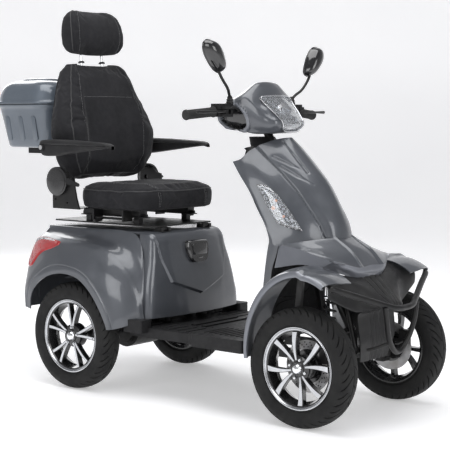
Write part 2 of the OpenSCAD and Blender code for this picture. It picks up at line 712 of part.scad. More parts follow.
// Carriage on the slide, seat pan and the two recline brackets
module seat_frame() color(black) at_axle() {
    both_sides() {
        difference() {
            block([-120, -leg_y - 20, plate_z + 38], [195, -leg_y + 20, seat_bottom - 1]);
            block([-121, -leg_y - 5, plate_z + 30], [196, -leg_y + 5, plate_z + 47]);
        }
        difference() {
            union() {
                side_plate([
                    [-196, 700], [-44, 700], [-60, 745], [-72, 798], [-74, 826], [-100, 832], [-recline_x + 40, 850],
                    [-recline_x - 30, 850], [-196, 760]
                ], -262, -254);
                rod([-recline_x, -262, recline_z], [-recline_x, -274, recline_z], 58);
            }
            for (p = belt_holes) rod([p[0], -280, p[1]], [p[0], -240, p[1]], belt_hole_r);
            rod([-recline_x, -263, recline_z], [-recline_x, -240, recline_z], 10 + run);
        }
        block([-150, -256, 700], [-60, -120, seat_bottom - 1]);
        // Pin of the recline lever, and the brackets of the slide lever
        rod([lever_x, -254, lever_z], [lever_x, -280, lever_z], 5);
        difference() {
            for (x = [-16, 146]) block([x - 4, -212, 658], [x + 4, -leg_y - 18, 702]);
            rod([-100, -slide_y, slide_z], [300, -slide_y, slide_z], 5 + run);
        }
    }
    slab(-150, 230, -200, 200, seat_bottom - 3, seat_bottom - 0.5, 10);
}

module seat_cushion() color(cloth) at_axle() hull() {
    both_sides() {
        for (p = [[225, 170], [-60, 180]]) {
            translate([p[0], -p[1], seat_bottom]) cylinder(r = 60, h = 2, $fn = 32);
            translate([p[0], -p[1], cushion_top - 30]) cylinder(r = 66, h = 2, $fn = 32);
            translate([p[0] - 6, -p[1] + 10, cushion_top - 3]) cylinder(r = 46, h = 3, $fn = 32);
        }
    }
}

// Bar that frees the seat slide, with a handle at the rider's side
slide_y = 200;
slide_z = 668;
module slide_lever() color(black) at_axle() {
    rod([-30, -slide_y, slide_z], [160, -slide_y, slide_z], 5);
    rod([30, -slide_y, slide_z], [30, -slide_y - 14, slide_z - 6], 4);
    rod([30, -slide_y - 12, slide_z - 6], [30, -slide_y - 52, slide_z - 10], 7);
}

lever_x = -86;
lever_z = 812;

module recline_lever() color(black) at_axle() {
    difference() {
        union() {
            rod([lever_x, -266, lever_z], [lever_x, -284, lever_z], 13);
            side_plate([[lever_x, 800], [-30, 792], [-24, 800], [-30, 806], [lever_x, 824]], -284, -276);
        }
        rod([lever_x, -240, lever_z], [lever_x, -280.5, lever_z], 5 + run);
    }
}

// ---------------------------------------------------------------- backrest

// Turns its children about the recline pivot, so that they stand upright where the backrest leans.
module leaning() translate([-recline_x, 0, recline_z]) rotate([0, -lean, 0]) children();

// Half width of the backrest at heights above the pivot
module back_slice(h, half, front, back, t = 4) translate([0, 0, h]) linear_extrude(t)
    polygon([[back, -half + 30], [back + 30, -half], [front - 40, -half], [front, -half + 40],
        [front, half - 40], [front - 40, half], [back + 30, half], [back, half - 30]]);

module backrest() color(cloth) at_axle() leaning() difference() {
    union() {
        hull() {
            back_slice(6, 200, 62, -62);
            back_slice(90, 242, 84, -74);
            back_slice(250, 244, 78, -74);
        }
        hull() {
            back_slice(249, 243.5, 78, -74);
            back_slice(440, 196, 34, -72);
            back_slice(494, 158, 16, -50);
        }
        both_sides() rod([0, -198, 0], [0, -260, 0], 10);
        both_sides() side_plate([[-14, -12], [14, -12], [30, 30], [-30, 30]], -214, -198);
    }
    // Sockets of the headrest posts
    both_sides() translate([-20, -60, 380]) cylinder(r = 6 + run, h = 200, $fn = 48);
    // Bores of the armrest pivots
    both_sides() rod([arm_x, -200, arm_z], [arm_x, -300, arm_z], 8 + run);
}

// Armrest pivot, from the recline pivot
arm_x = -32;
arm_z = 140;
arm_low = 258;
arm_wide = 55;

module armrest() leaning() {
    translate([arm_x, -arm_low, arm_z]) rotate([0, lean, 0]) {
        side_plate([[-24, 26], [-18, 34], [180, 30], [360, 20], [376, 6], [350, -2], [240, -22], [60, -44], [0, -46], [-20, -26]],
            -arm_wide + 6, -6);
        side_plate([[-24, 26], [-18, 34], [180, 30], [360, 20], [376, 6], [352, 4], [180, 12], [-10, 16]], -arm_wide, 0);
        rod([0, 0, 0], [0, 52, 0], 8);
        rod([0, 0, 0], [0, -8, 0], 16);
    }
}
module armrest_right() color(black) at_axle() armrest();
module armrest_left() color(black) mirror([0, 1, 0]) at_axle() armrest();

module headrest() color(cloth) at_axle() leaning() {
    hull() {
        back_slice(522, 140, 34, -48, 2);
        back_slice(560, 158, 46, -56, 2);
        back_slice(640, 152, 42, -54, 2);
        back_slice(700, 118, 20, -40, 2);
    }
    both_sides() translate([-20, -60, 400]) cylinder(r = 6, h = 130, $fn = 48);
}

// ---------------------------------------------------------------- rear box

box_front = 300;
box_mid = (box_front + box_back) / 2;
box_half = 200;
box_floor = 938;

module box_plan(inset, r) let (d = (box_back - box_front) / 2 - inset, w = box_half - inset) {
    translate([-box_mid - d + r, -w]) square([2 * d - 2 * r, 2 * w]);
    translate([-box_mid - d, -w + r]) square([2 * d, 2 * w - 2 * r]);
    for (x = [-d + r, d - r], y = [-w + r, w - r]) translate([-box_mid + x, y]) circle(r = r, $fn = 32);
}
module box_layer(z, inset, r, t = 1) translate([0, 0, z]) linear_extrude(t) box_plan(inset, r);

module box_carrier() color(black) at_axle() {
    slab(-566, -290, -60, 60, box_floor - 26, box_floor - 0.5, 6);
    both_sides() block([-300, -60, box_floor - 26], [-249, -48, box_floor - 1]);
}

module top_box() color(box_grey) at_axle() difference() {
    union() {
        hull() {
            box_layer(box_floor, 44, 50);
            box_layer(box_rim_z - 14, 8, 70);
        }
        translate([0, 0, box_rim_z - 14]) linear_extrude(13) box_plan(3, 74);
    }
    hull() {
        box_layer(box_floor + 4, 49, 45);
        box_layer(box_rim_z + 1, 12, 66);
    }
}

module box_lid() color(box_grey) at_axle() difference() {
    union() {
        box_layer(box_rim_z, 0, 76, 14);
        hull() {
            box_layer(box_rim_z + 13, 6, 70);
            box_layer(box_rim_z + 60, 18, 70);
            box_layer(box_rim_z + 92, 44, 70);
            box_layer(box_rim_z + 106, 80, 60);
        }
        translate([-560, 0, box_rim_z + 90]) cylinder(r = 36, h = 24, $fn = 48);
    }
    hull() {
        box_layer(box_rim_z - 1, 11, 65);
        box_layer(box_rim_z + 58, 23, 65);
        box_layer(box_rim_z + 88, 49, 65);
        box_layer(box_rim_z + 100, 84, 56);
    }
}

// ---------------------------------------------------------------- parts

chassis_frame();
floor_deck();
rear_body_shell();
rear_fenders();
tail_lamps();
plate_hinges();
charge_port();
port_flap();
battery_pack();
motor_controller();
front_shield();
indicator_lamps();
leg_shield();
bonnet();
front_fenders();
nose_grille();
front_apron();
bumper_bar();
front_axle();
front_shock_tubes();
front_springs();
knuckle_right();
knuckle_left();
tie_rod();
rear_axle();
rear_springs();
tyre_front_right();
tyre_front_left();
rim_front_right();
rim_front_left();
brake_disc_right();
brake_disc_left();
tyre_rear_right();
tyre_rear_left();
rim_rear_right();
rim_rear_left();
steering_column();
headlamp_pod();
headlamp_lens();
grip_left();
throttle_grip();
brake_lever_right();
brake_lever_left();
switch_pods();
horn_button();
mirror_right();
mirror_left();
seat_plate();
seat_frame();
seat_cushion();
slide_lever();
recline_lever();
backrest();
armrest_right();
armrest_left();
headrest();
box_carrier();
top_box();
box_lid();
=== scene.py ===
import math
import bpy
import bmesh
import numpy as np
from mathutils import Matrix, Vector
from mathutils.bvhtree import BVHTree


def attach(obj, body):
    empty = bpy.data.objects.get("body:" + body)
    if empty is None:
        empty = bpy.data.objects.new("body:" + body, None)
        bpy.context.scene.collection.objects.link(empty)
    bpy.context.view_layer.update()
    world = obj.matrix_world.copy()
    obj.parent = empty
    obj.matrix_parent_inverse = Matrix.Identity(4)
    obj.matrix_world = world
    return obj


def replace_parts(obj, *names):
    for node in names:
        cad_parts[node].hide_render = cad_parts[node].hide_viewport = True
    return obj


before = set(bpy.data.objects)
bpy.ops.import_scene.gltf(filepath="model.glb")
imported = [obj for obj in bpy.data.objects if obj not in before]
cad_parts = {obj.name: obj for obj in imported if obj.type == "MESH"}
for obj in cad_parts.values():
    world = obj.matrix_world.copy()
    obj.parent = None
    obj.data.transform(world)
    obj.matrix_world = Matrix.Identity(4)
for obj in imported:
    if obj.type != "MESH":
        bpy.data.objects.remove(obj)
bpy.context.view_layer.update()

AXLE_X = -0.3275          # the rear axle's place in the frame, metres
MM = 0.001
WHEELBASE, FRONT_TRACK, REAR_TRACK, TYRE_R = 1081.0, 296.0, 325.5, 210.0


def metres(points):
    """Points in millimetres, x from the rear axle, as metres in the frame."""
    a = np.asarray(points, float).reshape(-1, 3) * MM
    a[:, 0] += AXLE_X
    return a


# ------------------------------------------------------------------ mesh helpers

def make(name, verts, faces, mats, body=None, face_mat=None, sharp=35.0, scale_in=True):
    """A mesh object from points in millimetres, riding on a body."""
    me = bpy.data.meshes.new(name)
    co = metres(verts) if scale_in else np.asarray(verts, float)
    me.from_pydata([tuple(v) for v in co], [], [tuple(int(i) for i in f) for f in faces])
    for m in mats if isinstance(mats, (list, tuple)) else [mats]:
        me.materials.append(m)
    if face_mat is not None:
        me.polygons.foreach_set("material_index", np.asarray(face_mat, np.int32))
    me.update()
    me.polygons.foreach_set("use_smooth", [True] * len(me.polygons))
    me.set_sharp_from_angle(angle=math.radians(sharp))
    ob = bpy.data.objects.new(name, me)
    bpy.context.scene.collection.objects.link(ob)
    if body:
        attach(ob, body)
    return ob


def grid_faces(rows, cols, wrap_rows=False, wrap_cols=False, base=0, flip=False):
    """The four-sided faces of a grid of points, numbered row by row from base."""
    faces = []
    for i in range(rows if wrap_rows else rows - 1):
        for j in range(cols if wrap_cols else cols - 1):
            a, b = i * cols + j, i * cols + (j + 1) % cols
            c, d = ((i + 1) % rows) * cols + (j + 1) % cols, ((i + 1) % rows) * cols + j
            f = (base + a, base + b, base + c, base + d)
            faces.append(f[::-1] if flip else f)
    return faces


def spline(ctrl, n, closed=False):
    """n points along a smooth curve through the control points, spaced by their length. Doubled points
    make a corner."""
    c = np.asarray(ctrl, float)
    if closed:
        c = np.vstack([c, c[:1]])
    m = len(c)
    ext = np.vstack([c[-2] if closed else 2 * c[0] - c[1], c, c[1] if closed else 2 * c[-1] - c[-2]])
    seg = np.linalg.norm(np.diff(c, axis=0), axis=1) + 1e-6
    s = np.concatenate([[0], np.cumsum(seg)])
    t = np.linspace(0, s[-1], n + 1 if closed else n)
    k = np.clip(np.searchsorted(s, t, side="right") - 1, 0, m - 2)
    u = ((t - s[k]) / seg[k])[:, None]
    p0, p1, p2, p3 = ext[k], ext[k + 1], ext[k + 2], ext[k + 3]
    out = 0.5 * (2 * p1 + (p2 - p0) * u + (2 * p0 - 5 * p1 + 4 * p2 - p3) * u ** 2
                 + (3 * p1 - p0 - 3 * p2 + p3) * u ** 3)
    return out[:-1] if closed else out


def patch(ctrl, nu, nv):
    """A smooth grid of nu by nv points through a grid of control points, in millimetres."""
    rows = np.array([spline(r, nv) for r in np.asarray(ctrl, float)])
    m = rows.shape[0]
    mid = rows.mean(1)
    seg = np.linalg.norm(np.diff(mid, axis=0), axis=1) + 1e-6
    s = np.concatenate([[0], np.cumsum(seg)])
    t = np.linspace(0, s[-1], nu)
    k = np.clip(np.searchsorted(s, t, side="right") - 1, 0, m - 2)
    u = ((t - s[k]) / seg[k])[:, None, None]
    ext = np.concatenate([2 * rows[:1] - rows[1:2], rows, 2 * rows[-1:] - rows[-2:-1]])
    p0, p1, p2, p3 = ext[k], ext[k + 1], ext[k + 2], ext[k + 3]
    return 0.5 * (2 * p1 + (p2 - p0) * u + (2 * p0 - 5 * p1 + 4 * p2 - p3) * u ** 2
                  + (3 * p1 - p0 - 3 * p2 + p3) * u ** 3)


def whole(ctrl):
    """Control rows given from the centre line out to the right, made whole with their mirror image."""
    out = []
    for row in ctrl:
        left = [(x, -y, z) for x, y, z in row[:0:-1]]
        out.append(left + list(row))
    return out


def normals(g):
    """Unit normals of a grid of points."""
    du = np.gradient(g, axis=0)
    dv = np.gradient(g, axis=1)
    n = np.cross(du, dv)
    return n / (np.linalg.norm(n, axis=2, keepdims=True) + 1e-9)


def outward(g, inside):
    """Unit normals of a grid that point away from a point inside."""
    n = normals(g)
    if (n * (g - np.asarray(inside, float))).sum() < 0:
        n = -n
    return n


def step(x, a, b):
    """A smooth rise from 0 at a to 1 at b."""
    t = np.clip((x - a) / (b - a), 0, 1)
    return t * t * (3 - 2 * t)


def line_distance(points, line, axes=(0, 1, 2)):
    """Distance of each point from a polyline, in the given axes."""
    p = np.asarray(points, float)[..., axes].reshape(-1, len(axes))
    line = np.asarray(line, float)
    if line.shape[1] > len(axes):
        line = line[:, list(axes)]
    best = np.full(len(p), 1e9)
    for a, b in zip(line[:-1], line[1:]):
        d = b - a
        t = np.clip(((p - a) @ d) / (d @ d + 1e-12), 0, 1)
        best = np.minimum(best, np.linalg.norm(p - (a + t[:, None] * d), axis=1))
    return best.reshape(np.asarray(points).shape[:-1])


def in_polygon(points, poly, axes):
    """Signed distance to a polygon seen along one axis: positive inside."""
    p = np.asarray(points, float)[..., axes].reshape(-1, 2)
    poly = np.asarray(poly, float)
    inside = np.zeros(len(p), bool)
    j = len(poly) - 1
    for i in range(len(poly)):
        (xi, yi), (xj, yj) = poly[i], poly[j]
        cross = (yi > p[:, 1]) != (yj > p[:, 1])
        with np.errstate(divide="ignore", invalid="ignore"):
            xs = (xj - xi) * (p[:, 1] - yi) / (yj - yi + 1e-12) + xi
        inside ^= cross & (p[:, 0] < xs)
        j = i
    d = line_distance(p, np.vstack([poly, poly[:1]]), axes=(0, 1))
    return np.where(inside, d, -d).reshape(np.asarray(points).shape[:-1])


def groove(g, n, line, width=1.6, depth=2.5, axes=(0, 1, 2)):
    """Sinks a soft-edged line into a grid; a negative depth raises a ridge."""
    d = line_distance(g, line, axes)
    return g - n * (depth * np.exp(-(d / width) ** 2))[..., None]


def both(line):
    """A polyline's mirror image across the centre line."""
    return [(x, -y, z) for x, y, z in line]


class Parts:
    """Collects several closed pieces, in millimetres, into one mesh."""

    def __init__(self):
        self.v, self.f, self.m = [], [], []

    def add(self, verts, faces, mat=0):
        base = len(self.v)
        self.v += [tuple(p) for p in verts]
        self.f += [tuple(i + base for i in f) for f in faces]
        self.m += [mat] * len(faces) if isinstance(mat, int) else list(mat)
        return self

    def mirror(self):
        """The same pieces across the centre line."""
        self.v = flip_y(self.v)
        self.f = [f[::-1] for f in self.f]

    def build(self, name, mats, body, slot, sharp=35.0):
        return make(name, self.v, self.f, mats, body, self.m, sharp)


def sweep(points, radius, n=16, closed=False, flat=1.0, cap=True):
    """A round tube along points; radius may be a list. Returns vertices and faces."""
    p = np.asarray(points, float)
    m = len(p)
    r = np.broadcast_to(np.asarray(radius, float), (m,))
    if closed:
        tan = np.roll(p, -1, 0) - np.roll(p, 1, 0)
    else:
        tan = np.gradient(p, axis=0)
    tan /= np.linalg.norm(tan, axis=1, keepdims=True) + 1e-9
    ref = np.array([0, 0, 1.0]) if abs(tan[0][2]) < 0.9 else np.array([0, 1.0, 0])
    side = np.cross(tan[0], ref)
    side /= np.linalg.norm(side)
    verts = []
    a = np.linspace(0, 2 * math.pi, n, endpoint=False)
    for i in range(m):
        side = side - tan[i] * (side @ tan[i])
        side /= np.linalg.norm(side) + 1e-9
        up = np.cross(side, tan[i])
        verts.append(p[i] + r[i] * (np.cos(a)[:, None] * side + flat * np.sin(a)[:, None] * up))
    v = np.vstack(verts)
    f = grid_faces(m, n, wrap_rows=closed, wrap_cols=True)
    if cap and not closed:
        f.append(tuple(range(n))[::-1])
        f.append(tuple(range((m - 1) * n, m * n)))
    # outward-facing: test one face
    c = v[list(f[0])].mean(0)
    nn = np.cross(v[f[0][1]] - v[f[0][0]], v[f[0][2]] - v[f[0][1]])
    if nn @ (c - p[0]) < 0:
        f = [q[::-1] for q in f]
    return v, f


def revolve(profile, n=64, centre=(0, 0, 0), axis=(0, 0, 1), closed=True):
    """A turned piece from a closed (radius, height) outline about an axis through centre."""
    pr = np.asarray(profile, float)
    k = Vector(axis).normalized()
    m = np.array(k.to_track_quat("Z", "Y").to_matrix())
    a = np.linspace(0, 2 * math.pi, n, endpoint=False)
    v = np.array([[r * math.cos(t), r * math.sin(t), h] for t in a for r, h in pr])
    v = v @ m.T + np.asarray(centre, float)
    f = grid_faces(n, len(pr), wrap_rows=True, wrap_cols=closed)
    area = sum(pr[i][0] * pr[(i + 1) % len(pr)][1] - pr[(i + 1) % len(pr)][0] * pr[i][1]
               for i in range(len(pr)))
    if area < 0:
        f = [q[::-1] for q in f]
    return v, f


def rounded_rect(w, d, r, n=10):
    """Outline of a rounded rectangle of half sizes w and d."""
    pts = []
    for cx, cy, a0 in ((w - r, d - r, 0), (-w + r, d - r, 90), (-w + r, -d + r, 180), (w - r, -d + r, 270)):
        for i in range(n + 1):
            a = math.radians(a0 + 90 * i / n)
            pts.append((cx + r * math.cos(a), cy + r * math.sin(a)))
    return pts


def extrude(outline, lo, hi, plane="xz", bevel=1.5):
    """A plate from an outline with its edges rounded a little: vertices and faces. Plane xz runs
    lo..hi along y."""
    o = np.asarray(outline, float)
    area = 0.5 * sum(o[i][0] * o[(i + 1) % len(o)][1] - o[(i + 1) % len(o)][0] * o[i][1]
                     for i in range(len(o)))
    if area < 0:
        o = o[::-1]
    prev, nxt = np.roll(o, 1, 0), np.roll(o, -1, 0)
    e1, e2 = o - prev, nxt - o
    n1 = np.stack([e1[:, 1], -e1[:, 0]], 1) / (np.linalg.norm(e1, axis=1, keepdims=True) + 1e-9)
    n2 = np.stack([e2[:, 1], -e2[:, 0]], 1) / (np.linalg.norm(e2, axis=1, keepdims=True) + 1e-9)
    b = n1 + n2
    b /= (np.linalg.norm(b, axis=1, keepdims=True) + 1e-9)
    layers = []
    for h, inset in ((lo, bevel), (lo + 0.3 * bevel, 0.3 * bevel), (lo + bevel, 0), (hi - bevel, 0),
                     (hi - 0.3 * bevel, 0.3 * bevel), (hi, bevel)):
        p = o - b * inset
        if plane == "xz":
            layers.append(np.stack([p[:, 0], np.full(len(p), h), p[:, 1]], 1))
        elif plane == "xy":
            layers.append(np.stack([p[:, 0], p[:, 1], np.full(len(p), h)], 1))
        else:
            layers.append(np.stack([np.full(len(p), h), p[:, 0], p[:, 1]], 1))
    m = len(o)
    v = np.vstack(layers)
    f = grid_faces(6, m, wrap_cols=True)
    f.append(tuple(range(m))[::-1])
    f.append(tuple(range(5 * m, 6 * m)))
    if plane == "xz":
        f = [q[::-1] for q in f]
    return v, f


def softened(node, material, body, width=1.2, segments=2, name=None):
    """The CAD node's own shape with its hard edges rounded."""
    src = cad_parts[node].data
    bm = bmesh.new()
    bm.from_mesh(src)
    bmesh.ops.remove_doubles(bm, verts=bm.verts, dist=2e-5)
    bmesh.ops.dissolve_limit(bm, angle_limit=math.radians(1.0), verts=bm.verts, edges=bm.edges)
    me = bpy.data.meshes.new(name or node + "_shape")
    bm.to_mesh(me)
    bm.free()
    me.materials.clear()
    me.materials.append(material)
    me.polygons.foreach_set("use_smooth", [True] * len(me.polygons))
    me.set_sharp_from_angle(angle=math.radians(32))
    ob = bpy.data.objects.new(name or node + "_shape", me)
    bpy.context.scene.collection.objects.link(ob)
    m = ob.modifiers.new("edges", "BEVEL")
    m.width = width * MM
    m.segments = segments
    m.limit_method = "ANGLE"
    m.angle_limit = math.radians(32)
    m.harden_normals = True
    m.use_clamp_overlap = True
    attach(ob, body)
    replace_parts(ob, node)
    return ob


# ------------------------------------------------------------------ materials

def node(nt, kind, **props):
    """A shader node with its inputs or settings given by name."""
    n = nt.nodes.new(kind)
    for k, v in props.items():
        if k in n.inputs.keys():
            n.inputs[k].default_value = v
        else:
            setattr(n, k, v)
    return n


class Finish:
    """A procedural material: colour mottling, roughness variation and bump, all from the object's own
    coordinates."""

    def __init__(self, name, base, rough, metallic=0.0, **constants):
        self.mat = bpy.data.materials.new(name)
        self.mat.use_nodes = True
        self.nt = self.mat.node_tree
        self.bsdf = self.nt.nodes["Principled BSDF"]
        self.bsdf.inputs["Base Color"].default_value = (*base, 1)
        self.bsdf.inputs["Roughness"].default_value = rough
        self.bsdf.inputs["Metallic"].default_value = metallic
        for k, v in constants.items():
            self.bsdf.inputs[k.replace("_", " ")].default_value = v
        self.base, self.rough = base, rough
        self.coord = node(self.nt, "ShaderNodeTexCoord")
        self.height = None
        self.colour = None

    def noise(self, scale, detail=3.0, rough=0.5, stretch=(1, 1, 1), kind="noise"):
        """Noise, cells or waves over the object at a scale per metre, as a value."""
        m = node(self.nt, "ShaderNodeMapping")
        m.inputs["Scale"].default_value = [scale * s for s in stretch]
        self.nt.links.new(self.coord.outputs["Object"], m.inputs["Vector"])
        if kind == "noise":
            n = node(self.nt, "ShaderNodeTexNoise")
            n.inputs["Scale"].default_value = 1.0
            n.inputs["Detail"].default_value = detail
            n.inputs["Roughness"].default_value = rough
            out = n.outputs["Fac"]
        elif kind == "cells":
            n = node(self.nt, "ShaderNodeTexVoronoi")
            n.inputs["Scale"].default_value = 1.0
            out = n.outputs["Distance"]
        else:
            n = node(self.nt, "ShaderNodeTexWave", bands_direction=kind)
            n.inputs["Scale"].default_value = 1.0
            n.inputs["Distortion"].default_value = 0.3
            out = n.outputs["Fac"]
        self.nt.links.new(m.outputs["Vector"], n.inputs["Vector"])
        return out

    def ramp(self, source, stops):
        """Colours along a value."""
        r = node(self.nt, "ShaderNodeValToRGB")
        e = r.color_ramp.elements
        while len(e) < len(stops):
            e.new(0.5)
        for item, (pos, col) in zip(e, stops):
            item.position = pos
            item.color = (*col, 1) if len(col) == 3 else col
        self.nt.links.new(source, r.inputs["Fac"])
        return r.outputs["Color"]

    def mottle(self, other, scale=12.0, low=0.35, high=0.7, detail=5.0, **kw):
        """Mixes a second colour into the base in patches."""
        col = self.ramp(self.noise(scale, detail, **kw), [(low, self.base), (high, other)])
        if self.colour is not None:
            mix = node(self.nt, "ShaderNodeMix", data_type="RGBA")
            mix.inputs["Factor"].default_value = 0.5
            self.nt.links.new(self.colour, mix.inputs["A"])
            self.nt.links.new(col, mix.inputs["B"])
            col = mix.outputs["Result"]
        self.colour = col
        self.nt.links.new(col, self.bsdf.inputs["Base Color"])
        return self

    def uneven(self, low, high, scale=20.0, detail=4.0, **kw):
        """Varies the roughness between two values."""
        r = node(self.nt, "ShaderNodeMapRange")
        r.inputs["From Min"].default_value = 0.3
        r.inputs["From Max"].default_value = 0.7
        r.inputs["To Min"].default_value = low
        r.inputs["To Max"].default_value = high
        self.nt.links.new(self.noise(scale, detail, **kw), r.inputs["Value"])
        self.nt.links.new(r.outputs["Result"], self.bsdf.inputs["Roughness"])
        return self

    def bump(self, scale, strength=0.2, distance=0.0003, **kw):
        """Adds a layer of fine relief."""
        b = node(self.nt, "ShaderNodeBump")
        b.inputs["Strength"].default_value = strength
        b.inputs["Distance"].default_value = distance
        self.nt.links.new(self.noise(scale, **kw), b.inputs["Height"])
        if self.height is not None:
            self.nt.links.new(self.height, b.inputs["Normal"])
        self.height = b.outputs["Normal"]
        self.nt.links.new(self.height, self.bsdf.inputs["Normal"])
        return self

    def done(self):
        return self.mat


body_paint = (Finish("body_paint", (0.082, 0.089, 0.102), 0.34, 0.3, Coat_Weight=0.8, Coat_Roughness=0.07,
                     Coat_IOR=1.5)
              .mottle((0.098, 0.105, 0.119), 9.0).uneven(0.28, 0.40, 30.0).bump(190.0, 0.02, 0.0002).done())
# A lighter copy of the body paint: painted highlight on the bonnet's lip and sides, the front fenders' flange
# face and the pod's ring
painted_highlight_paint = (Finish("body_paint_painted_highlight", (0.17, 0.18, 0.205), 0.36, 0.4, Coat_Weight=0.7,
                      Coat_Roughness=0.08)
               .mottle((0.20, 0.21, 0.235), 9.0).uneven(0.30, 0.42, 30.0).bump(190.0, 0.02, 0.0002).done())
box_paint = (Finish("box_paint", (0.105, 0.128, 0.156), 0.36, 0.2, Coat_Weight=0.9, Coat_Roughness=0.06)
             .mottle((0.125, 0.150, 0.182), 8.0).uneven(0.28, 0.42, 25.0).bump(150.0, 0.03, 0.0003).done())
black_plastic = (Finish("black_plastic", (0.010, 0.010, 0.011), 0.52, Specular_IOR_Level=0.3)
                 .mottle((0.018, 0.018, 0.019), 14.0).uneven(0.46, 0.64, 60.0)
                 .bump(1500.0, 0.35, 0.00018, kind="cells").bump(90.0, 0.05, 0.0004).done())
nose_plastic = (Finish("nose_plastic", (0.017, 0.017, 0.018), 0.46, Specular_IOR_Level=0.35)
                .mottle((0.026, 0.026, 0.026), 12.0).uneven(0.40, 0.54, 50.0)
                .bump(1500.0, 0.25, 0.00015, kind="cells").done())
gloss_black = (Finish("gloss_black", (0.008, 0.008, 0.009), 0.12, Coat_Weight=1.0, Coat_Roughness=0.03)
               .mottle((0.014, 0.014, 0.015), 20.0).uneven(0.10, 0.18, 40.0).bump(240.0, 0.02, 0.0002).done())
frame_black = (Finish("frame_black", (0.009, 0.009, 0.010), 0.38, Specular_IOR_Level=0.35)
               .mottle((0.016, 0.0155, 0.015), 18.0).uneven(0.28, 0.46,
               70.0).bump(900.0, 0.18, 0.0002).done())
cloth = (Finish("seat_cloth", (0.013, 0.013, 0.015), 0.80, Sheen_Weight=0.06, Sheen_Roughness=0.45,
                Specular_IOR_Level=0.25)
         .mottle((0.021, 0.021, 0.024), 7.0, detail=6.0).uneven(0.70, 0.90, 45.0)
         .bump(310.0, 0.35, 0.00025, kind="DIAGONAL").bump(330.0, 0.30, 0.00025, stretch=(1, -1, 1),
         kind="DIAGONAL")
         .bump(26.0, 0.30, 0.0022, detail=2.0).done())
vinyl = (Finish("seat_vinyl", (0.014, 0.014, 0.015), 0.46, Sheen_Weight=0.04, Specular_IOR_Level=0.3)
         .mottle((0.022, 0.022, 0.023), 8.0).uneven(0.38, 0.54, 30.0)
         .bump(900.0, 0.30, 0.0003, kind="cells").bump(24.0, 0.22, 0.0020, detail=2.0).done())
piping = (Finish("seat_piping", (0.030, 0.030, 0.032), 0.5).mottle((0.045, 0.045, 0.047), 60.0)
          .bump(900.0, 0.3, 0.0002).done())
thread = (Finish("seam_thread", (0.20, 0.20, 0.205), 0.7).mottle((0.30, 0.30, 0.30), 200.0)
          .bump(2500.0, 0.4, 0.0001).done())
tyre_rubber = (Finish("tyre_rubber", (0.010, 0.010, 0.0105), 0.66, Specular_IOR_Level=0.25)
               .mottle((0.017, 0.017, 0.0165), 16.0, detail=6.0).uneven(0.54, 0.74, 40.0)
               .bump(1100.0, 0.25, 0.0002).done())
machined = (Finish("machined_alloy", (0.60, 0.61, 0.63), 0.24, 1.0, Anisotropic=0.5)
            .mottle((0.50, 0.51, 0.53), 30.0).uneven(0.13, 0.27, 900.0, stretch=(0.03, 1, 1))
            .bump(1600.0, 0.05, 0.0001, stretch=(0.05, 1, 1)).done())
chrome = (Finish("chrome", (0.86, 0.87, 0.89), 0.07, 1.0).mottle((0.78, 0.79, 0.81), 25.0)
          .uneven(0.04, 0.12, 30.0).bump(120.0, 0.02, 0.0002).done())
rim_black = (Finish("rim_black", (0.012, 0.012, 0.013), 0.22, 0.2, Coat_Weight=0.8, Coat_Roughness=0.08)
             .mottle((0.020, 0.020, 0.021), 18.0).uneven(0.18, 0.30, 50.0).bump(500.0, 0.08, 0.0002).done())
steel = (Finish("brushed_steel", (0.42, 0.42, 0.43), 0.34, 1.0).mottle((0.30, 0.29, 0.28), 22.0)
         .uneven(0.26, 0.46, 60.0).bump(900.0, 0.12, 0.0001, stretch=(1, 0.05, 1)).done())
alu = (Finish("cast_aluminium", (0.52, 0.53, 0.54), 0.42, 1.0).mottle((0.42, 0.42, 0.43), 20.0)
       .uneven(0.34, 0.52, 60.0).bump(700.0, 0.25, 0.0002).done())
grip_rubber = (Finish("grip_rubber", (0.014, 0.014, 0.0145), 0.72).mottle((0.024, 0.024, 0.024), 30.0)
               .uneven(0.64, 0.82, 60.0).bump(1400.0, 0.4, 0.0002, kind="cells").done())
red_lens = (Finish("red_lens", (0.42, 0.005, 0.010), 0.14, Coat_Weight=1.0, Coat_Roughness=0.03,
                   Transmission_Weight=0.1)
            .mottle((0.52, 0.012, 0.014), 30.0).bump(150.0, 0.35, 0.0012, kind="Z").done())
clear_strip = (Finish("lamp_reflector", (0.66, 0.66, 0.68), 0.2, 0.85, Coat_Weight=1.0, Coat_Roughness=0.03)
               .mottle((0.06, 0.06, 0.065), 150.0, 0.42, 0.62,
                       kind="cells").bump(160.0, 0.6, 0.0015, kind="X").done())
lens_glass = (Finish("lens_clear", (0.92, 0.94, 0.96), 0.04, Transmission_Weight=0.92, IOR=1.30,
                     Coat_Weight=1.0,
                     Coat_Roughness=0.02)
              .mottle((0.86, 0.89, 0.92), 20.0).bump(60.0, 0.06, 0.0004).done())
amber = (Finish("amber_bulb", (0.85, 0.20, 0.01), 0.2, Coat_Weight=1.0, Emission_Strength=0.15)
         .mottle((0.95, 0.30, 0.02), 90.0).bump(400.0, 0.1, 0.0003).done())
battery_case = (Finish("battery_case", (0.05, 0.055, 0.07), 0.5).mottle((0.08, 0.08, 0.09), 12.0)
                .bump(1200.0, 0.2, 0.0002, kind="cells").done())
mirror_glass = (Finish("mirror_glass", (0.80, 0.82, 0.84), 0.02, 1.0).mottle((0.74, 0.77, 0.79), 10.0)
                .bump(30.0, 0.01, 0.0002).done())


# ------------------------------------------------------------------ rear bodywork

# Slot 1 is the lighter copy of the body paint: painted highlight
PAINTS = [body_paint, painted_highlight_paint, black_plastic, gloss_black]

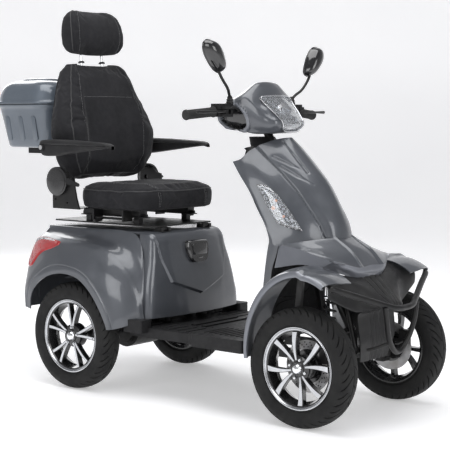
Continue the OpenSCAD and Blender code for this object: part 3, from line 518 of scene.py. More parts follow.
FENDER = [
    [(-292, -255, 296), (-290, -300, 296), (-282, -330, 297), (-270, -346, 298), (-258, -352, 300),
     (-231, -355, 296)],
    [(-294, -255, 370), (-294, -300, 368), (-288, -328, 364), (-277, -343, 358), (-264, -350, 350),
     (-226, -358, 340)],
    [(-294, -250, 450), (-294, -290, 445), (-284, -320, 432), (-264, -342, 415), (-240, -356, 398),
     (-200, -362, 385)],
    [(-290, -235, 540), (-292, -275, 520), (-272, -312, 490), (-225, -345, 458), (-174, -364, 438),
     (-150, -366, 424)],
    [(-283, -222, 590), (-270, -262, 572), (-220, -305, 535), (-155, -345, 495), (-102, -366, 468),
     (-95, -367, 446)],
    [(-150, -262, 582), (-120, -295, 565), (-85, -325, 535), (-50, -352, 505), (-15, -367, 480),
     (-25, -368, 455)],
    [(20, -275, 572), (45, -303, 553), (60, -330, 525), (68, -353, 495), (70, -366, 469), (50, -367, 442)],
    [(150, -286, 545), (160, -308, 520), (160, -332, 490), (152, -352, 455), (137, -365, 421),
     (112, -366, 399)],
    [(245, -288, 478), (242, -310, 455), (228, -335, 425), (208, -354, 390), (186, -364, 354),
     (160, -365, 341)],
    [(303, -282, 385), (294, -305, 365), (270, -332, 340), (243, -352, 312), (218, -362, 285),
     (192, -363, 285)],
    [(318, -277, 300), (306, -300, 290), (280, -330, 275), (250, -350, 264), (226, -362, 258),
     (204, -363, 256)],
]
# Upper edge and hollow of the body's side, from the rear corner to the front corner's foot
SIDE_TOP = [(-285, -198, 612), (-150, -204, 621), (20, -208, 623), (165, -212, 623), (240, -216, 595),
            (286, -240, 486), (309, -273, 314)]
SIDE_MID = [(-285, -208, 603), (-150, -226, 596), (20, -232, 590), (170, -238, 570), (255, -246, 515),
            (303, -262, 420), (314, -276, 306)]
FACE_ROWS = [  # height: side, corner, face edge, centre
    (621, (222, -200), (248, -198), (278, -187), 298), (612, (236, -209), (266, -210), (294, -200), 316),
    (590, (246, -217), (282, -219), (308, -208), 329),
    (550, (262, -222), (292, -226), (316, -212), 337), (500, (281, -236), (306, -238), (326, -222), 348),
    (450, (292, -250), (314, -252), (333, -232), 358), (400, (298, -262), (320, -262), (339, -240), 366),
    (350, (304, -270), (326, -268), (344, -246), 371), (300, (311, -275), (330, -271), (347, -248), 375)]


def flip_y(v):
    """Points mirrored across the centre line."""
    return [(x, -y, z) for x, y, z in v]


def add_grid(parts, g, inside, mat=0, face_mat=None, thick=3.5, mirror=True):
    """A grid of points as a thin closed panel, with its mirror image across the centre line."""
    n = outward(g, inside)
    flip = (normals(g) * n).sum() < 0
    nu, nv = g.shape[:2]
    inner = g - n * thick
    top = grid_faces(nu, nv, flip=flip)
    low = grid_faces(nu, nv, base=nu * nv, flip=not flip)
    rim, k = [], nu * nv
    loop = [(0, j) for j in range(nv)] + [(i, nv - 1) for i in range(1, nu)] \
        + [(nu - 1, j) for j in range(nv - 2, -1, -1)] + [(i, 0) for i in range(nu - 2, 0, -1)]
    ids = [i * nv + j for i, j in loop]
    for a, b in zip(ids, ids[1:] + ids[:1]):
        rim.append((a, b, b + k, a + k) if flip else (b, a, a + k, b + k))
    v = np.vstack([g.reshape(-1, 3), inner.reshape(-1, 3)])
    f = top + low + rim
    mats = list(face_mat) if face_mat is not None else [mat] * len(top)
    mats = mats + [mats[0] if face_mat is None else mat] * (len(low) + len(rim))
    parts.add(v, [q[::-1] for q in f], mats)
    if mirror:
        parts.add(flip_y(v), f, mats)


def face_values(field):
    """The mean of a grid of point values at each face."""
    return (0.25 * (field[:-1, :-1] + field[1:, :-1] + field[:-1, 1:] + field[1:, 1:])).reshape(-1)


# Rear fenders
g = patch(FENDER, 240, 80)
n = outward(g, (0, -250, 200))
# The fender stands proud of the body's side, and a line follows the wheel arch
lines = np.arange(80)[None, :, None]
g = g + n * (3.2 - 2.4 * np.exp(-((lines - 66) / 1.3) ** 2))
for side, suffix in ((1, "right"), (-1, "left")):
    parts = Parts()
    add_grid(parts, g, (0, -250, 200), mirror=False, thick=4.5)
    if side < 0:
        parts.mirror()
    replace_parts(parts.build("rear_fender_" + suffix, PAINTS, "chassis", "body_paint"), "rear_fenders")

# Middle cover: sides, front, back and top
parts = Parts()
side_grid = patch([[SIDE_TOP[i], SIDE_MID[i], FENDER[i + 4][0]] for i in range(7)], 170, 30)
add_grid(parts, side_grid, (0, 0, 400), thick=5)
front_ctrl = []
for z, s, c, e, mid in FACE_ROWS:
    half = -e[1]
    row = [(s[0], s[1], z), (c[0], c[1], z), (e[0], e[1], z)]
    row += [(mid - (mid - e[0]) * (y / half) ** 2, -y, z) for y in (160, 110, 60, 0)]
    front_ctrl.append(row)
full = [row + [(x, -y, z) for x, y, z in row[-2::-1]] for row in front_ctrl]
face = patch(full, 150, 240)
n = outward(face, (100, 0, 450))
left_v = [(0, 374), (155, 427), (190, 514), (205, 640), (-205, 640), (-190, 514), (-155, 427)]
inside = in_polygon(face, left_v, (1, 2))
lift = (2 + 12 * (618 - face[..., 2]) / 240).clip(0, 14)
face = face + n * (lift * step(inside, -1.0, 5.0))[..., None]
add_grid(parts, face, (100, 0, 450), thick=4, mirror=False)
rear_rows = []
for (x, y, z), bulge in (((-285, -198, 612), 3), ((-283, -222, 590), 4), ((-290, -235, 540), 5),
                         ((-294, -250, 450), 4),
                         ((-294, -255, 370), 3), ((-292, -255, 296), 2)):
    rear_rows.append([(x - bulge * (1 - t ** 2) * 0.6, y * t, z)
                      for t in (1, 0.66, 0.33, 0, -0.33, -0.66, -1)])
back = patch(rear_rows, 90, 60)
n = outward(back, (0, 0, 400))
panel = in_polygon(back, [(-150, 560), (150, 560), (175, 420), (150, 350), (-150, 350), (-175, 420)], (1, 2))
back = back - n * (5 * step(panel, 0, 6))[..., None]
for k in range(5):
    back = groove(back, n, [(0, -110, 400 + 30 * k), (0, 110, 400 + 30 * k)], 5.0, 4.0, (1, 2))
add_grid(parts, back, (0, 0, 400), face_mat=np.where(face_values(panel) > 3, 2, 0), thick=4, mirror=False)
top = [(x, y, 0) for x, y, z in SIDE_TOP[:4]] + [(222, -200, 0), (248, -198, 0), (278, -187, 0)] \
    + [(298 - 20 * (y / 187) ** 2, -y, 0) for y in (160, 110, 60, 0)]
outline = [(x, y) for x, y, _ in top] + [(x, -y) for x, y, _ in top[-2::-1]]
parts.add(*extrude(outline, 610, 623, "xy", 5.0), 0)
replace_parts(parts.build("rear_body", PAINTS, "chassis", "body_paint"), "rear_body_shell")

# Tail lamps: moulded lenses that follow the fender's corner, with a clear upper part
lamp_uv = [[(5.1, 1.1), (5.05, 1.3), (5.0, 1.5)], [(4.5, 0.9), (4.5, 1.5), (4.5, 2.15)],
           [(3.9, 0.8), (3.8, 1.7), (3.7, 2.5)], [(3.2, 0.75), (3.1, 1.7), (3.0, 2.65)],
           [(2.5, 0.9), (2.5, 1.6), (2.6, 2.3)]]
fine = patch(FENDER, 200, 100)
fine_n = outward(fine, (0, -250, 200))
uv = patch([[(a, b, 0) for a, b in r] for r in lamp_uv], 60, 46)[..., :2]
# rows of FENDER as places along the fine grid
mean_rows = np.array(FENDER, float).mean(1)
along = np.concatenate([[0], np.cumsum(np.linalg.norm(np.diff(mean_rows, axis=0), axis=1))])
ui = np.interp(uv[..., 0], range(11), along) / along[-1] * 199
col_len = np.linalg.norm(np.diff(np.array(FENDER[3:5], float).mean(0), axis=0), axis=1)
across = np.concatenate([[0], np.cumsum(col_len)])
vi = np.interp(uv[..., 1], range(6), across) / across[-1] * 99
i0, j0 = ui.astype(int), vi.astype(int)
fu, fv = (ui - i0)[..., None], (vi - j0)[..., None]


def sample(a):
    return ((1 - fu) * (1 - fv) * a[i0, j0] + fu * (1 - fv) * a[i0 + 1, j0]
            + (1 - fu) * fv * a[i0, j0 + 1] + fu * fv * a[i0 + 1, j0 + 1])


lens, lens_n = sample(fine), sample(fine_n)
r = np.linspace(-1, 1, 60)[:, None] * np.ones((1, 46))
c = np.linspace(-1, 1, 46)[None, :] * np.ones((60, 1))
edge = np.minimum(1 - np.abs(r), 1 - np.abs(c))
crown = 5.5 * step(edge, 0, 0.12) + 2.0
ribs = 0.5 * np.cos(r * 3.14159 * 26) * step(edge, 0.1, 0.2)
lens = lens + lens_n * (crown + ribs)[..., None]
clear = (np.abs(face_values(c) + 0.62) < 0.17) & (np.abs(face_values(r) + 0.25) < 0.5)
for side, suffix in ((1, "right"), (-1, "left")):
    parts = Parts()
    add_grid(parts, lens, (0, -200, 400), face_mat=np.where(clear, 1, 0), thick=3, mirror=False)
    if side < 0:
        parts.mirror()
    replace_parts(parts.build("tail_lamp_" + suffix, [red_lens, clear_strip], "chassis", "red_lens"),
                "tail_lamps")

# Charge port: a tapered gloss cup on the front face, and its flap
parts = Parts()
rings = []
for depth, grow in ((-14, 0), (6, 0), (15, -2), (19, -6)):
    ring = []
    for y, z, _ in spline([(-55, 580, 0), (-40, 584, 0), (0, 585, 0), (40, 584, 0), (55, 580, 0),
                           (60, 545, 0), (46, 508, 0),
                           (30, 498, 0), (0, 496, 0), (-30, 498, 0), (-46, 508, 0), (-60, 545, 0)], 84,
                          closed=True):
        s = 1 + grow / 60
        ring.append((345 + depth - (z - 540) * 0.12, y * s, 542 + (z - 542) * s))
    rings.append(ring)
v = [p for ring in rings for p in ring]
f = grid_faces(4, 84, wrap_cols=True) + [tuple(range(84))[::-1], tuple(range(3 * 84, 4 * 84))]
parts.add(v, [q[::-1] for q in f], 0)
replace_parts(parts.build("charge_cup", [gloss_black], "chassis", "gloss_black"), "charge_port")
parts = Parts().add(*extrude([(y, z) for y, z in [(a, b + 541) for a, b in rounded_rect(43, 31, 9)]], 358,
                             365.5, "yz", 2))
parts.add(*extrude([(y, z + 517) for y, z in rounded_rect(14, 3.5, 3)], 363, 369, "yz", 1.4))
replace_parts(parts.build("charge_flap", [gloss_black], "port_flap", "gloss_black"), "port_flap")

# ------------------------------------------------------------------ floor

softened("floor_deck", black_plastic, "chassis", 3.0, 3)
parts = Parts()
for k in range(9):   # anti-slip ribs on the side wings, and a raised mat
    for s in (-1, 1):
        x = 606 + 25 * k
        parts.add(*extrude([(x + a, s * 190 + b) for a, b in rounded_rect(5.0, 70, 5, 6)], 274, 278.5, "xy",
                           1.4), 0)
for k in range(6):
    for s in (-1, 1):
        parts.add(*extrude([(300 + 44 * k + a, s * 205 + b) for a, b in rounded_rect(5.5, 55, 5, 6)], 266.5,
                           271, "xy", 1.4), 0)
parts.build("floor_ribs", [black_plastic], "chassis", "black_plastic")

# ------------------------------------------------------------------ front bodywork

SHIELD = [
    [(805, 0, 990), (776, 45, 984), (722, 98, 958), (702, 126, 938), (697, 160, 915), (676, 180, 905)],
    [(845, 0, 953), (822, 55, 945), (780, 102, 912), (750, 142, 888), (727, 170, 857), (706, 181, 862)],
    [(905, 0, 893), (884, 55, 886), (842, 101, 862), (806, 146, 834), (768, 172, 800), (748, 181, 808)],
    [(965, 0, 830), (945, 55, 820), (905, 97, 802), (858, 143, 776), (800, 174, 744), (778, 182, 765)],
    [(1012, 0, 757), (990, 55, 750), (955, 90, 738), (908, 140, 716), (836, 175, 690), (808, 183, 715)],
    [(1048, 0, 680), (1030, 55, 682), (996, 80, 680), (948, 136, 658), (868, 176, 640), (836, 183, 660)],
    [(1058, 0, 618), (1045, 55, 620), (1016, 70, 622), (962, 130, 612), (880, 178, 608), (850, 184, 618)],
]
shield_ctrl = whole([[(x, -y, z) for x, y, z in row] for row in SHIELD])
g = patch(shield_ctrl, 190, 250)
shield_in = (700, 0, 700)
n = outward(g, shield_in)
seam = [(722, -98, 958), (780, -102, 912), (842, -101, 862), (905, -97, 802), (955, -90, 738),
        (996, -80, 680), (1016, -70, 622)]
chevrons = [[(796, -92, 924), (860, -72, 893), (915, -42, 862), (936, 0, 850)],
            [(832, -94, 888), (893, -77, 853), (945, -50, 822), (964, 0, 812)],
            [(801, -40, 976), (865, -45, 919), (917, -44, 866)]]
for line in [seam, both(seam)]:
    g = groove(g, n, line, 2.2, 5.0)
d_seam = np.minimum(line_distance(g, [(x, y, z) for x, y, z in seam]), line_distance(g, both(seam)))
centre_panel = np.abs(g[..., 1]) < np.interp(g[..., 0], [p[0] for p in seam], [-p[1] for p in seam])
g = g + n * (3.0 * step(d_seam, 0, 7) * centre_panel)[..., None]
for line in chevrons:
    for ln in (line, both(line)):
        g = groove(g, n, ln, 3.6, 4.5)
parts = Parts()
add_grid(parts, g, shield_in, thick=4, mirror=False)
leg = patch([[(884, -176, 612), (868, -181, 616), (846, -184, 620)],
             [(873, -178, 570), (858, -183, 569), (836, -184, 569)],
             [(856, -180, 513), (842, -184, 500), (824, -184, 486)],
             [(842, -179, 400), (830, -184, 395), (815, -184, 390)],
             [(838, -178, 292), (826, -184, 288), (810, -184, 284)]], 80, 14)
add_grid(parts, leg, (830, -100, 450), thick=5)
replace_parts(parts.build("shield", PAINTS, "chassis", "body_paint"), "front_shield")

# Indicator lamps let into the shield's shoulders: dark housing, amber bulb, clear lens
lens_rows = [[(774, 166, 824), (795, 160, 823), (816, 152, 819)],
             [(802, 168, 786), (836, 161, 788), (862, 147, 784)],
             [(835, 170, 738), (872, 161, 736), (910, 141, 728)],
             [(872, 170, 688), (915, 156, 673), (958, 132, 662)]]
lamp = patch([[(x, -y, z) for x, y, z in r] for r in lens_rows], 44, 34)
n = outward(lamp, shield_in)
r = np.linspace(-1, 1, 44)[:, None] * np.ones((1, 34))
c = np.linspace(-1, 1, 34)[None, :] * np.ones((44, 1))
edge = np.minimum(1 - np.abs(r), 1 - np.abs(c))
outer = lamp + n * (1.0 + 5.0 * step(edge, 0, 0.18))[..., None]
parts = Parts()
add_grid(parts, outer, shield_in, mat=0, thick=1.8)
tray = lamp + n * (1.2 - 0.4 * np.cos(r * 3.14159 * 9))[..., None]
add_grid(parts, tray, shield_in, mat=1, thick=1.0)
for s in (-1, 1):
    for x, y, z, k in ((852, 163, 742, 1.0), (858, 158, 768, 0.6), (892, 157, 712, 0.6)):
        parts.add(*revolve([(0.01, -k * 3), (k * 7, -k * 3), (k * 9, 1), (k * 8, k * 4), (k * 5, k * 6),
                            (0.01, k * 7)], 28,
                       (x, s * y, z), (0.4, s * 0.85, 0.3)), 2)
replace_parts(parts.build("indicators", [lens_glass, clear_strip, amber], "chassis", "clear_lens"),
            "indicator_lamps")

# Rider's side of the shield
rear_line = [(668, 955, 96), (676, 922, 122), (692, 880, 146), (758, 757, 162), (828, 637, 172),
             (815, 482, 172), (807, 282, 172)]
back_ctrl = [[(x + 8 * t ** 4, w * t, z) for t in (-1, -0.7, -0.35, 0, 0.35, 0.7, 1)] for x, z,
             w in rear_line]
parts = Parts()
add_grid(parts, patch(back_ctrl, 130, 60), (1100, 0, 620), thick=5, mirror=False)
roof = whole([[(802, 0, 988), (774, -45, 982), (722, -96, 956), (704, -122, 938)],
              [(750, 0, 984), (735, -48, 976), (700, -92, 956), (688, -112, 944)],
              [(700, 0, 966), (692, -48, 963), (676, -88, 957), (670, -104, 953)]])
add_grid(parts, patch(roof, 24, 60), (760, 0, 800), thick=3, mirror=False)
collar = [[(cx + rx * math.cos(a), ry * math.sin(a), z) for a in np.linspace(-math.pi, math.pi, 9)[:-1]]
          for z, cx, rx, ry in ((935, 706, 44, 84), (965, 688, 46, 70), (994, 672, 44, 56))]
v = np.concatenate([spline(ring, 60, closed=True) for ring in collar])
parts.add(v, grid_faces(3, 60, wrap_cols=True) + [tuple(range(60))[::-1], tuple(range(120, 180))], 0)
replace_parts(parts.build("leg_shield_panel", [black_plastic], "chassis", "black_plastic"), "leg_shield")
parts = Parts()
for z0, z1, w in ((842, 700, 120), (600, 520, 104), (490, 410, 96), (380, 310, 86)):
    def at(z):
        return float(np.interp(z, [282, 482, 637, 880, 955], [812, 820, 838, 700, 668])) - 1.0
    o = [(w, z0), (w * 0.92, z1), (-w * 0.92, z1), (-w, z0)]
    ring = spline([(at(z), y, z) for y, z in o], 60, closed=True)
    parts.add(*sweep(ring, 3.2, 8, closed=True))
parts.build("leg_shield_beads", [black_plastic], "chassis", "black_plastic")

# Bonnet over the front suspension
BONNET = [
    [(1050, 0, 638), (1040, 60, 638), (988, 120, 630), (930, 155, 620), (882, 170, 612)],
    [(1085, 0, 622), (1080, 60, 618), (1045, 120, 611), (1000, 158, 604), (962, 176, 602)],
    [(1125, 0, 596), (1125, 60, 590), (1110, 120, 584), (1085, 160, 583), (1054, 178, 582)],
    [(1166, 0, 545), (1168, 77, 542), (1149, 128, 554), (1137, 160, 562), (1124, 179, 568)],
]
g = patch(whole([[(x, -y, z) for x, y, z in row] for row in BONNET]), 90, 200)
bonnet_in = (1000, 0, 500)
n = outward(g, bonnet_in)
ridge = [(1037, -50, 616), (1110, -60, 586), (1172, -70, 550)]
for line in (ridge, both(ridge)):
    g = groove(g, n, line, 5.0, -4.5, (0, 1))
between = step(-np.abs(g[..., 1]) + 62, 0, 12) * step(g[..., 0], 1040, 1075)
g = g - n * (3.0 * between)[..., None]
parts = Parts()
add_grid(parts, g, bonnet_in, thick=4, mirror=False)
lip = patch(whole([[(1166, 0, 545), (1168, -77, 542), (1149, -128, 554), (1137, -160, 562),
                    (1124, -179, 568)],
                   [(1170, 0, 527), (1168, -77, 523), (1146, -128, 538), (1120, -162, 547),
                    (1095, -180, 553)],
                   [(1166, 0, 508), (1157, -77, 502), (1122, -130, 520), (1092, -162, 530),
                    (1066, -178, 538)]]), 24, 200)
# The lip takes slot 1, the lighter copy of the body paint: painted highlight
add_grid(parts, lip, bonnet_in, mat=1, thick=4, mirror=False)
crease = patch([[(882, -170, 612), (878, -178, 570), (872, -184, 528)],
                [(975, -177, 601), (980, -180, 575), (985, -183, 548)],
                [(1054, -178, 582), (1060, -180, 562), (1066, -182, 542)],
                [(1124, -179, 568), (1096, -180, 553), (1068, -181, 540)]],
               90, 24)
# The bonnet's sides take slot 1, the lighter copy of the body paint: painted highlight
add_grid(parts, crease, bonnet_in, mat=1, thick=4)
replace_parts(parts.build("bonnet_cover", PAINTS, "chassis", "body_paint"), "bonnet")


def fender_point(a, grow):
    c, s = math.cos(math.radians(a)), math.sin(math.radians(a))
    return (WHEELBASE + 10 + (236 + grow) * c * (0.98 if c > 0 else 1.04),
            262 + (292 + grow) * s * (0.97 if a < 90 else 1))


# Front fenders: the band over the wheel, rolled over a wide flange on the outside
ctrl = []
for t in np.linspace(0, 1, 27):
    wide = 8 + 22 * math.sin(math.pi * min(1, t * 1.25)) + 10 * t
    rows = [(-194, -3.0), (-240, 2.0), (-280, 3.5), (-312, 1.0), (-334, -5.0), (-346, -13.0)]
    rows += [(-347, -12.0 - wide), (-343, -16.0 - wide), (-336, -15.0 - wide)]
    line = []
    for y, grow in rows:
        grow = max(grow, -24 - 6 * math.sin(math.pi * t))
        end = np.interp(-y, [250, 347], [59, 62])
        x, z = fender_point(188 - t * (188 - end), grow)
        line.append((x, y, z))
    ctrl.append(line)
fg = np.array([spline(row, 64) for row in ctrl])
fg = np.array([spline(fg[:, j], 150) for j in range(64)]).transpose(1, 0, 2)
# The flange's outer face takes slot 1, the lighter copy of the body paint: painted highlight
flange_highlight_face = (fg[..., 1] < -337) & (np.arange(64)[None, :] > 30)
for side, suffix in ((1, "right"), (-1, "left")):
    parts = Parts()
    add_grid(parts, fg, (1081, -270, 230), face_mat=np.where(face_values(flange_highlight_face.astype(float)) > 0.5,
            1, 0),
             thick=3.5, mirror=False)
    if side < 0:
        parts.mirror()
    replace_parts(parts.build("front_fender_" + suffix, PAINTS, "chassis", "body_paint"), "front_fenders")

# Nose: dark moulding between the fenders, with three grooves running down its centre
NOSE = [
    [(1166, 0, 508), (1160, 77, 506), (1138, 130, 516), (1112, 178, 530), (1113, 220, 534)],
    [(1196, 0, 482), (1190, 68, 483), (1168, 132, 503), (1140, 190, 516), (1152, 250, 514)],
    [(1228, 0, 452), (1218, 60, 456), (1192, 130, 478), (1166, 200, 492), (1174, 278, 498)],
    [(1266, 0, 418), (1264, 45, 413), (1232, 98, 408), (1197, 148, 405), (1174, 279, 452)],
    [(1262, 0, 404), (1260, 45, 402), (1226, 98, 399), (1190, 148, 396), (1166, 250, 448)],
]
g = patch(whole([[(x, -y, z) for x, y, z in row] for row in NOSE]), 110, 220)
nose_in = (1080, 0, 440)
n = outward(g, nose_in)
slots = np.full(g.shape[:2], 99.0)
for k in (-1.5, -0.5, 0.5, 1.5):
    line = [(1170, k * 34, 505), (1228, k * 26, 452), (1266, k * 15, 412)]
    d = line_distance(g, line)
    slots = np.minimum(slots, d)
    g = g - n * (8.0 * np.exp(-(d / 4.5) ** 2))[..., None]
parts = Parts()
add_grid(parts, g, nose_in, face_mat=np.where(face_values(slots) < 3.6, 1, 0), thick=4, mirror=False)
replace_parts(parts.build("nose", [nose_plastic, black_plastic], "chassis", "black_plastic"), "nose_grille")

# Apron: ribbed panel under the nose
rows = [(1250, 402), (1226, 396), (1196, 380), (1199, 330), (1202, 290), (1196, 250), (1186, 208)]
ctrl = []
for i, (x, z) in enumerate(rows):
    w = np.interp(z, [206, 300, 402], [86, 116, 60 if i == 0 else 118])
    ctrl.append([(x - (0.0 + 8 * (t ** 2)), w * t, z) for t in np.linspace(-1, 1, 9)])
g = patch(ctrl, 120, 160)
n = outward(g, (1120, 0, 300))
across = np.linspace(-1, 1, 160)
ripple = ((np.cos(across * math.pi * 7) - 1) * np.exp(-(across / 0.5) ** 6))[None,
        :] * step(g[..., 2], 400, 380)
g = g + n * (2.6 * ripple)[..., None]
parts = Parts()
add_grid(parts, g, (1120, 0, 300), thick=4, mirror=False)
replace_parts(parts.build("apron", [nose_plastic], "chassis", "black_plastic"), "front_apron")


# ------------------------------------------------------------------ wheels

TYRE_SECTION = [  # distance across from the outer face's middle plane (0 = outer side), radius
    (10.5, 147), (4.5, 152), (1.6, 160), (0.4, 170), (1.0, 181), (3.5, 191), (8.0, 199), (14.5, 204.6),
                (24, 208), (35, 209.7),
    (46, 210), (57, 209.7), (68, 208), (77.5, 204.6), (84, 199), (88.5, 191), (91, 181), (91.6, 170),
                (90.4, 160), (87.5, 152),
    (81.5, 147)]


def tyre_mesh(name):
    """One tyre about the origin, its outer side facing -Y, with swept tread sipes, shoulder lugs and
    sidewall beads."""
    sect = spline([(a, b, 0) for a, b in TYRE_SECTION], 92)[:, :2]
    na = 1080
    ang = np.linspace(0, 2 * math.pi, na, endpoint=False)
    w, r = sect[:, 0], sect[:, 1]
    dw, dr = np.gradient(w), np.gradient(r)
    ln = np.hypot(dw, dr)
    nw, nr = -dr / ln, dw / ln
    A = ang[:, None]
    across = (w[None, :] - 46) / 46.0
    depth = np.zeros((na, len(w)))
    tread = step(r[None, :], 186, 197) * np.ones((na, 1))
    # Curved sipes that sweep from near the middle over each shoulder, in pairs
    pitch = 2 * math.pi / 20
    for side in (-1, 1):
        s = across * side
        sweep_angle = 0.30 * np.clip(s, 0, 1.2) ** 1.3 + (0.5 * pitch if side > 0 else 0)
        for extra, lo, hi, width in ((0.0, 0.10, 1.25, 0.0115), (0.5, 0.50, 1.25, 0.0085)):
            ph = (A - sweep_angle - extra * pitch + pitch / 2) % pitch - pitch / 2
            cut = np.exp(-(ph / width) ** 4) * step(s, lo - 0.05, lo + 0.03)
            depth = np.maximum(depth, cut * step(s, lo - 0.05, lo + 0.03))
    centre = np.exp(-(across / 0.035) ** 4) * 0.55
    depth = np.maximum(depth, centre)
    depth = depth * tread * 5.2
    # Fine lines and a raised protector on the sidewall
    rr = r[None, :] * np.ones((na, 1))
    side_wall = 1 - tread
    bead = 0.7 * np.exp(-((rr - 155) / 0.9) ** 2) + 0.6 * np.exp(-((rr - 185) / 0.9) ** 2)
    depth = depth - bead * side_wall * 0.9
    Rr = r[None, :] - np.abs(nr[None, :]) * depth
    W = w[None, :] + np.sign(46 - w[None, :]) * np.abs(nw[None, :]) * depth
    x = Rr * np.sin(A)
    z = Rr * np.cos(A)
    y = W - 46.0
    v = np.stack([x, y, z], -1).reshape(-1, 3)
    f = grid_faces(na, len(w), wrap_rows=True)
    # Inner lining closes the section
    inner = [(82, 143.5), (60, 150), (46, 152), (32, 150), (10, 143.5)]
    base = len(v)
    iv = np.array([[q * math.sin(t), p - 46.0, q * math.cos(t)] for t in ang for p, q in inner])
    v = np.vstack([v, iv])
    m, k = len(w), len(inner)
    f += grid_faces(na, k, wrap_rows=True, base=base)
    for i in range(na):
        j = (i + 1) % na
        f.append((i * m + m - 1, base + i * k, base + j * k, j * m + m - 1))
        f.append((base + i * k + k - 1, i * m, j * m, base + j * k + k - 1))
    return loose_mesh(name + "_src", v, f, tyre_rubber, 50)


def loose_mesh(name, verts, faces, mats, sharp, face_mat=None):
    """A mesh about the origin, from points in millimetres, that several objects share."""
    ob = make(name, verts, faces, mats, scale_in=False, face_mat=face_mat)
    mesh = ob.data
    mesh.vertices.foreach_set("co", (np.array([q.co for q in mesh.vertices]) * MM).ravel())
    bpy.data.objects.remove(ob)
    fix_normals(mesh)
    mesh.set_sharp_from_angle(angle=math.radians(sharp))
    return mesh


def fix_normals(mesh):
    """Turns every face outwards."""
    bm = bmesh.new()
    bm.from_mesh(mesh)
    bmesh.ops.recalc_face_normals(bm, faces=bm.faces)
    bm.to_mesh(mesh)
    bm.free()
    mesh.update()


def spoke(parts, ang0, spread, r0, r1, y_face0, y_face1, w0, w1, deep):
    """One tapered spoke with a polished face and dark flanks, from hub to rim."""
    rows = 14
    v, mats = [], []
    for i in range(rows):
        t = i / (rows - 1)
        r = r0 + (r1 - r0) * t
        a = ang0 + spread * t
        half = 0.5 * (w0 + (w1 - w0) * t)
        yf = y_face0 + (y_face1 - y_face0) * t - 2.0 * math.sin(math.pi * t)
        prof = [(-half, 2.2), (-half + 2.2, 0), (half - 2.2, 0), (half, 2.2), (half * 0.8, deep),
                (-half * 0.8, deep)]
        ca, sa = math.cos(a), math.sin(a)
        for s, d in prof:
            v.append((r * ca - s * sa, yf + d, r * sa + s * ca))
    f = grid_faces(rows, 6, wrap_cols=True)
    mats = [1 if (k % 6) != 1 else 0 for k in range(len(f))]
    f += [tuple(range(6))[::-1], tuple(range((rows - 1) * 6, rows * 6))]
    parts.add(v, f, mats + [1, 1])


def rim_mesh(name, rear):
    """A cast wheel about the origin, outer side towards -Y: barrel, polished lip, spokes in pairs,
    hub, nuts and cap."""
    parts = Parts()
    half = 37 if not rear else 36.5
    barrel = [(143.5, -half), (143.5, -half + 4), (139, -half + 6), (131, -half + 9), (128, -10), (124, 2),
              (128, 14),
              (132, half - 10), (139, half - 5), (143.5, half - 4), (143.5, half), (139, half),
              (134, half - 4), (128, half - 8),
              (122, 14), (118, 2), (122, -10), (128, -half + 7), (133, -half + 3), (138, -half)]
    n = 144
    v, f = revolve(barrel, n, (0, 0, 0), (0, 1, 0))
    m = len(barrel)
    mats = []
    for i in range(n):
        for j in range(m):
            mats.append(0 if j in (0, m - 1, m - 2) else 1)
    parts.add(v, f, mats)
    bead_r, bead_n = 139.4, 120     # raised bead on the lip
    t = np.linspace(0, 2 * math.pi, bead_n, endpoint=False)
    bead = np.stack([bead_r * np.cos(t), np.full(bead_n, -half - 0.4), bead_r * np.sin(t)], 1)
    parts.add(*sweep(bead, 1.3, 8, closed=True), 0)
    face = -26 if not rear else -22
    if rear:
        for k in range(5):
            a = 2 * math.pi * k / 5 + math.pi / 2 - 0.1
            for s in (-1, 1):
                spoke(parts, a + s * 0.11, s * 0.11, 30, 127, face - 6, face - 8, 12, 15, 24)
    else:
        for k in range(4):
            a = 2 * math.pi * k / 4 + math.pi / 4 - 0.32
            for s in (-1, 1):
                spoke(parts, a + s * 0.20, s * 0.17, 30, 127, face - 4, face - 8, 10, 23, 24)
    hub = [(0.01, face - 9), (22, face - 9), (25, face - 7), (26, face - 4), (38, face - 3), (44, face),
           (46, face + 5), (46, 14),
           (30, 30), (0.01, 30)]
    parts.add(*revolve(hub, 72, (0, 0, 0), (0, 1, 0), closed=False), 1)
    cap = [(0.01, face - 20), (8, face - 19.4), (14, face - 17), (18, face - 12), (19.5, face - 6),
           (19.5, face), (0.01, face)]
    parts.add(*revolve(cap, 56, (0, 0, 0), (0, 1, 0), closed=False), 2)
    for k in range(4 if not rear else 5):
        a = 2 * math.pi * k / (4 if not rear else 5) + (-0.32 if not rear else math.pi / 2 - 0.1)
        c = (33.5 * math.cos(a), 0, 33.5 * math.sin(a))
        hexa = [(c[0] + 5.6 * math.cos(math.radians(60 * i)), c[2] + 5.6 * math.sin(math.radians(60 * i)))
                for i in range(6)]
        parts.add(*extrude(hexa, face - 12, face - 2, "xz", 1.2), 2)
        parts.add(*revolve([(0.01, face - 14.5), (2.6, face - 14), (3.2, face - 12), (3.2, face - 8),
                            (0.01, face - 8)], 18,
                       (c[0], 0, c[2]), (0, 1, 0), closed=False), 2)
    # Valve stem
    parts.add(*sweep([(112, -16, 0), (118, -24, 0), (119, -32, 0)], [3.2, 2.6, 2.4], 12), 1)
    return loose_mesh(name + "_src", parts.v, parts.f, [machined, rim_black, chrome], 28, parts.m)


def place(name, mesh, where, left, body, node_name):
    """A wheel piece at its place in millimetres; the left-hand one is turned to face outwards."""
    ob = bpy.data.objects.new(name, mesh)
    bpy.context.scene.collection.objects.link(ob)
    turn = Matrix.Rotation(math.pi if left else 0.0, 4, "Z")
    ob.matrix_world = Matrix.Translation(Vector(metres([where])[0])) @ turn
    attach(ob, body)
    if node_name:
        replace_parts(ob, node_name)
    return ob


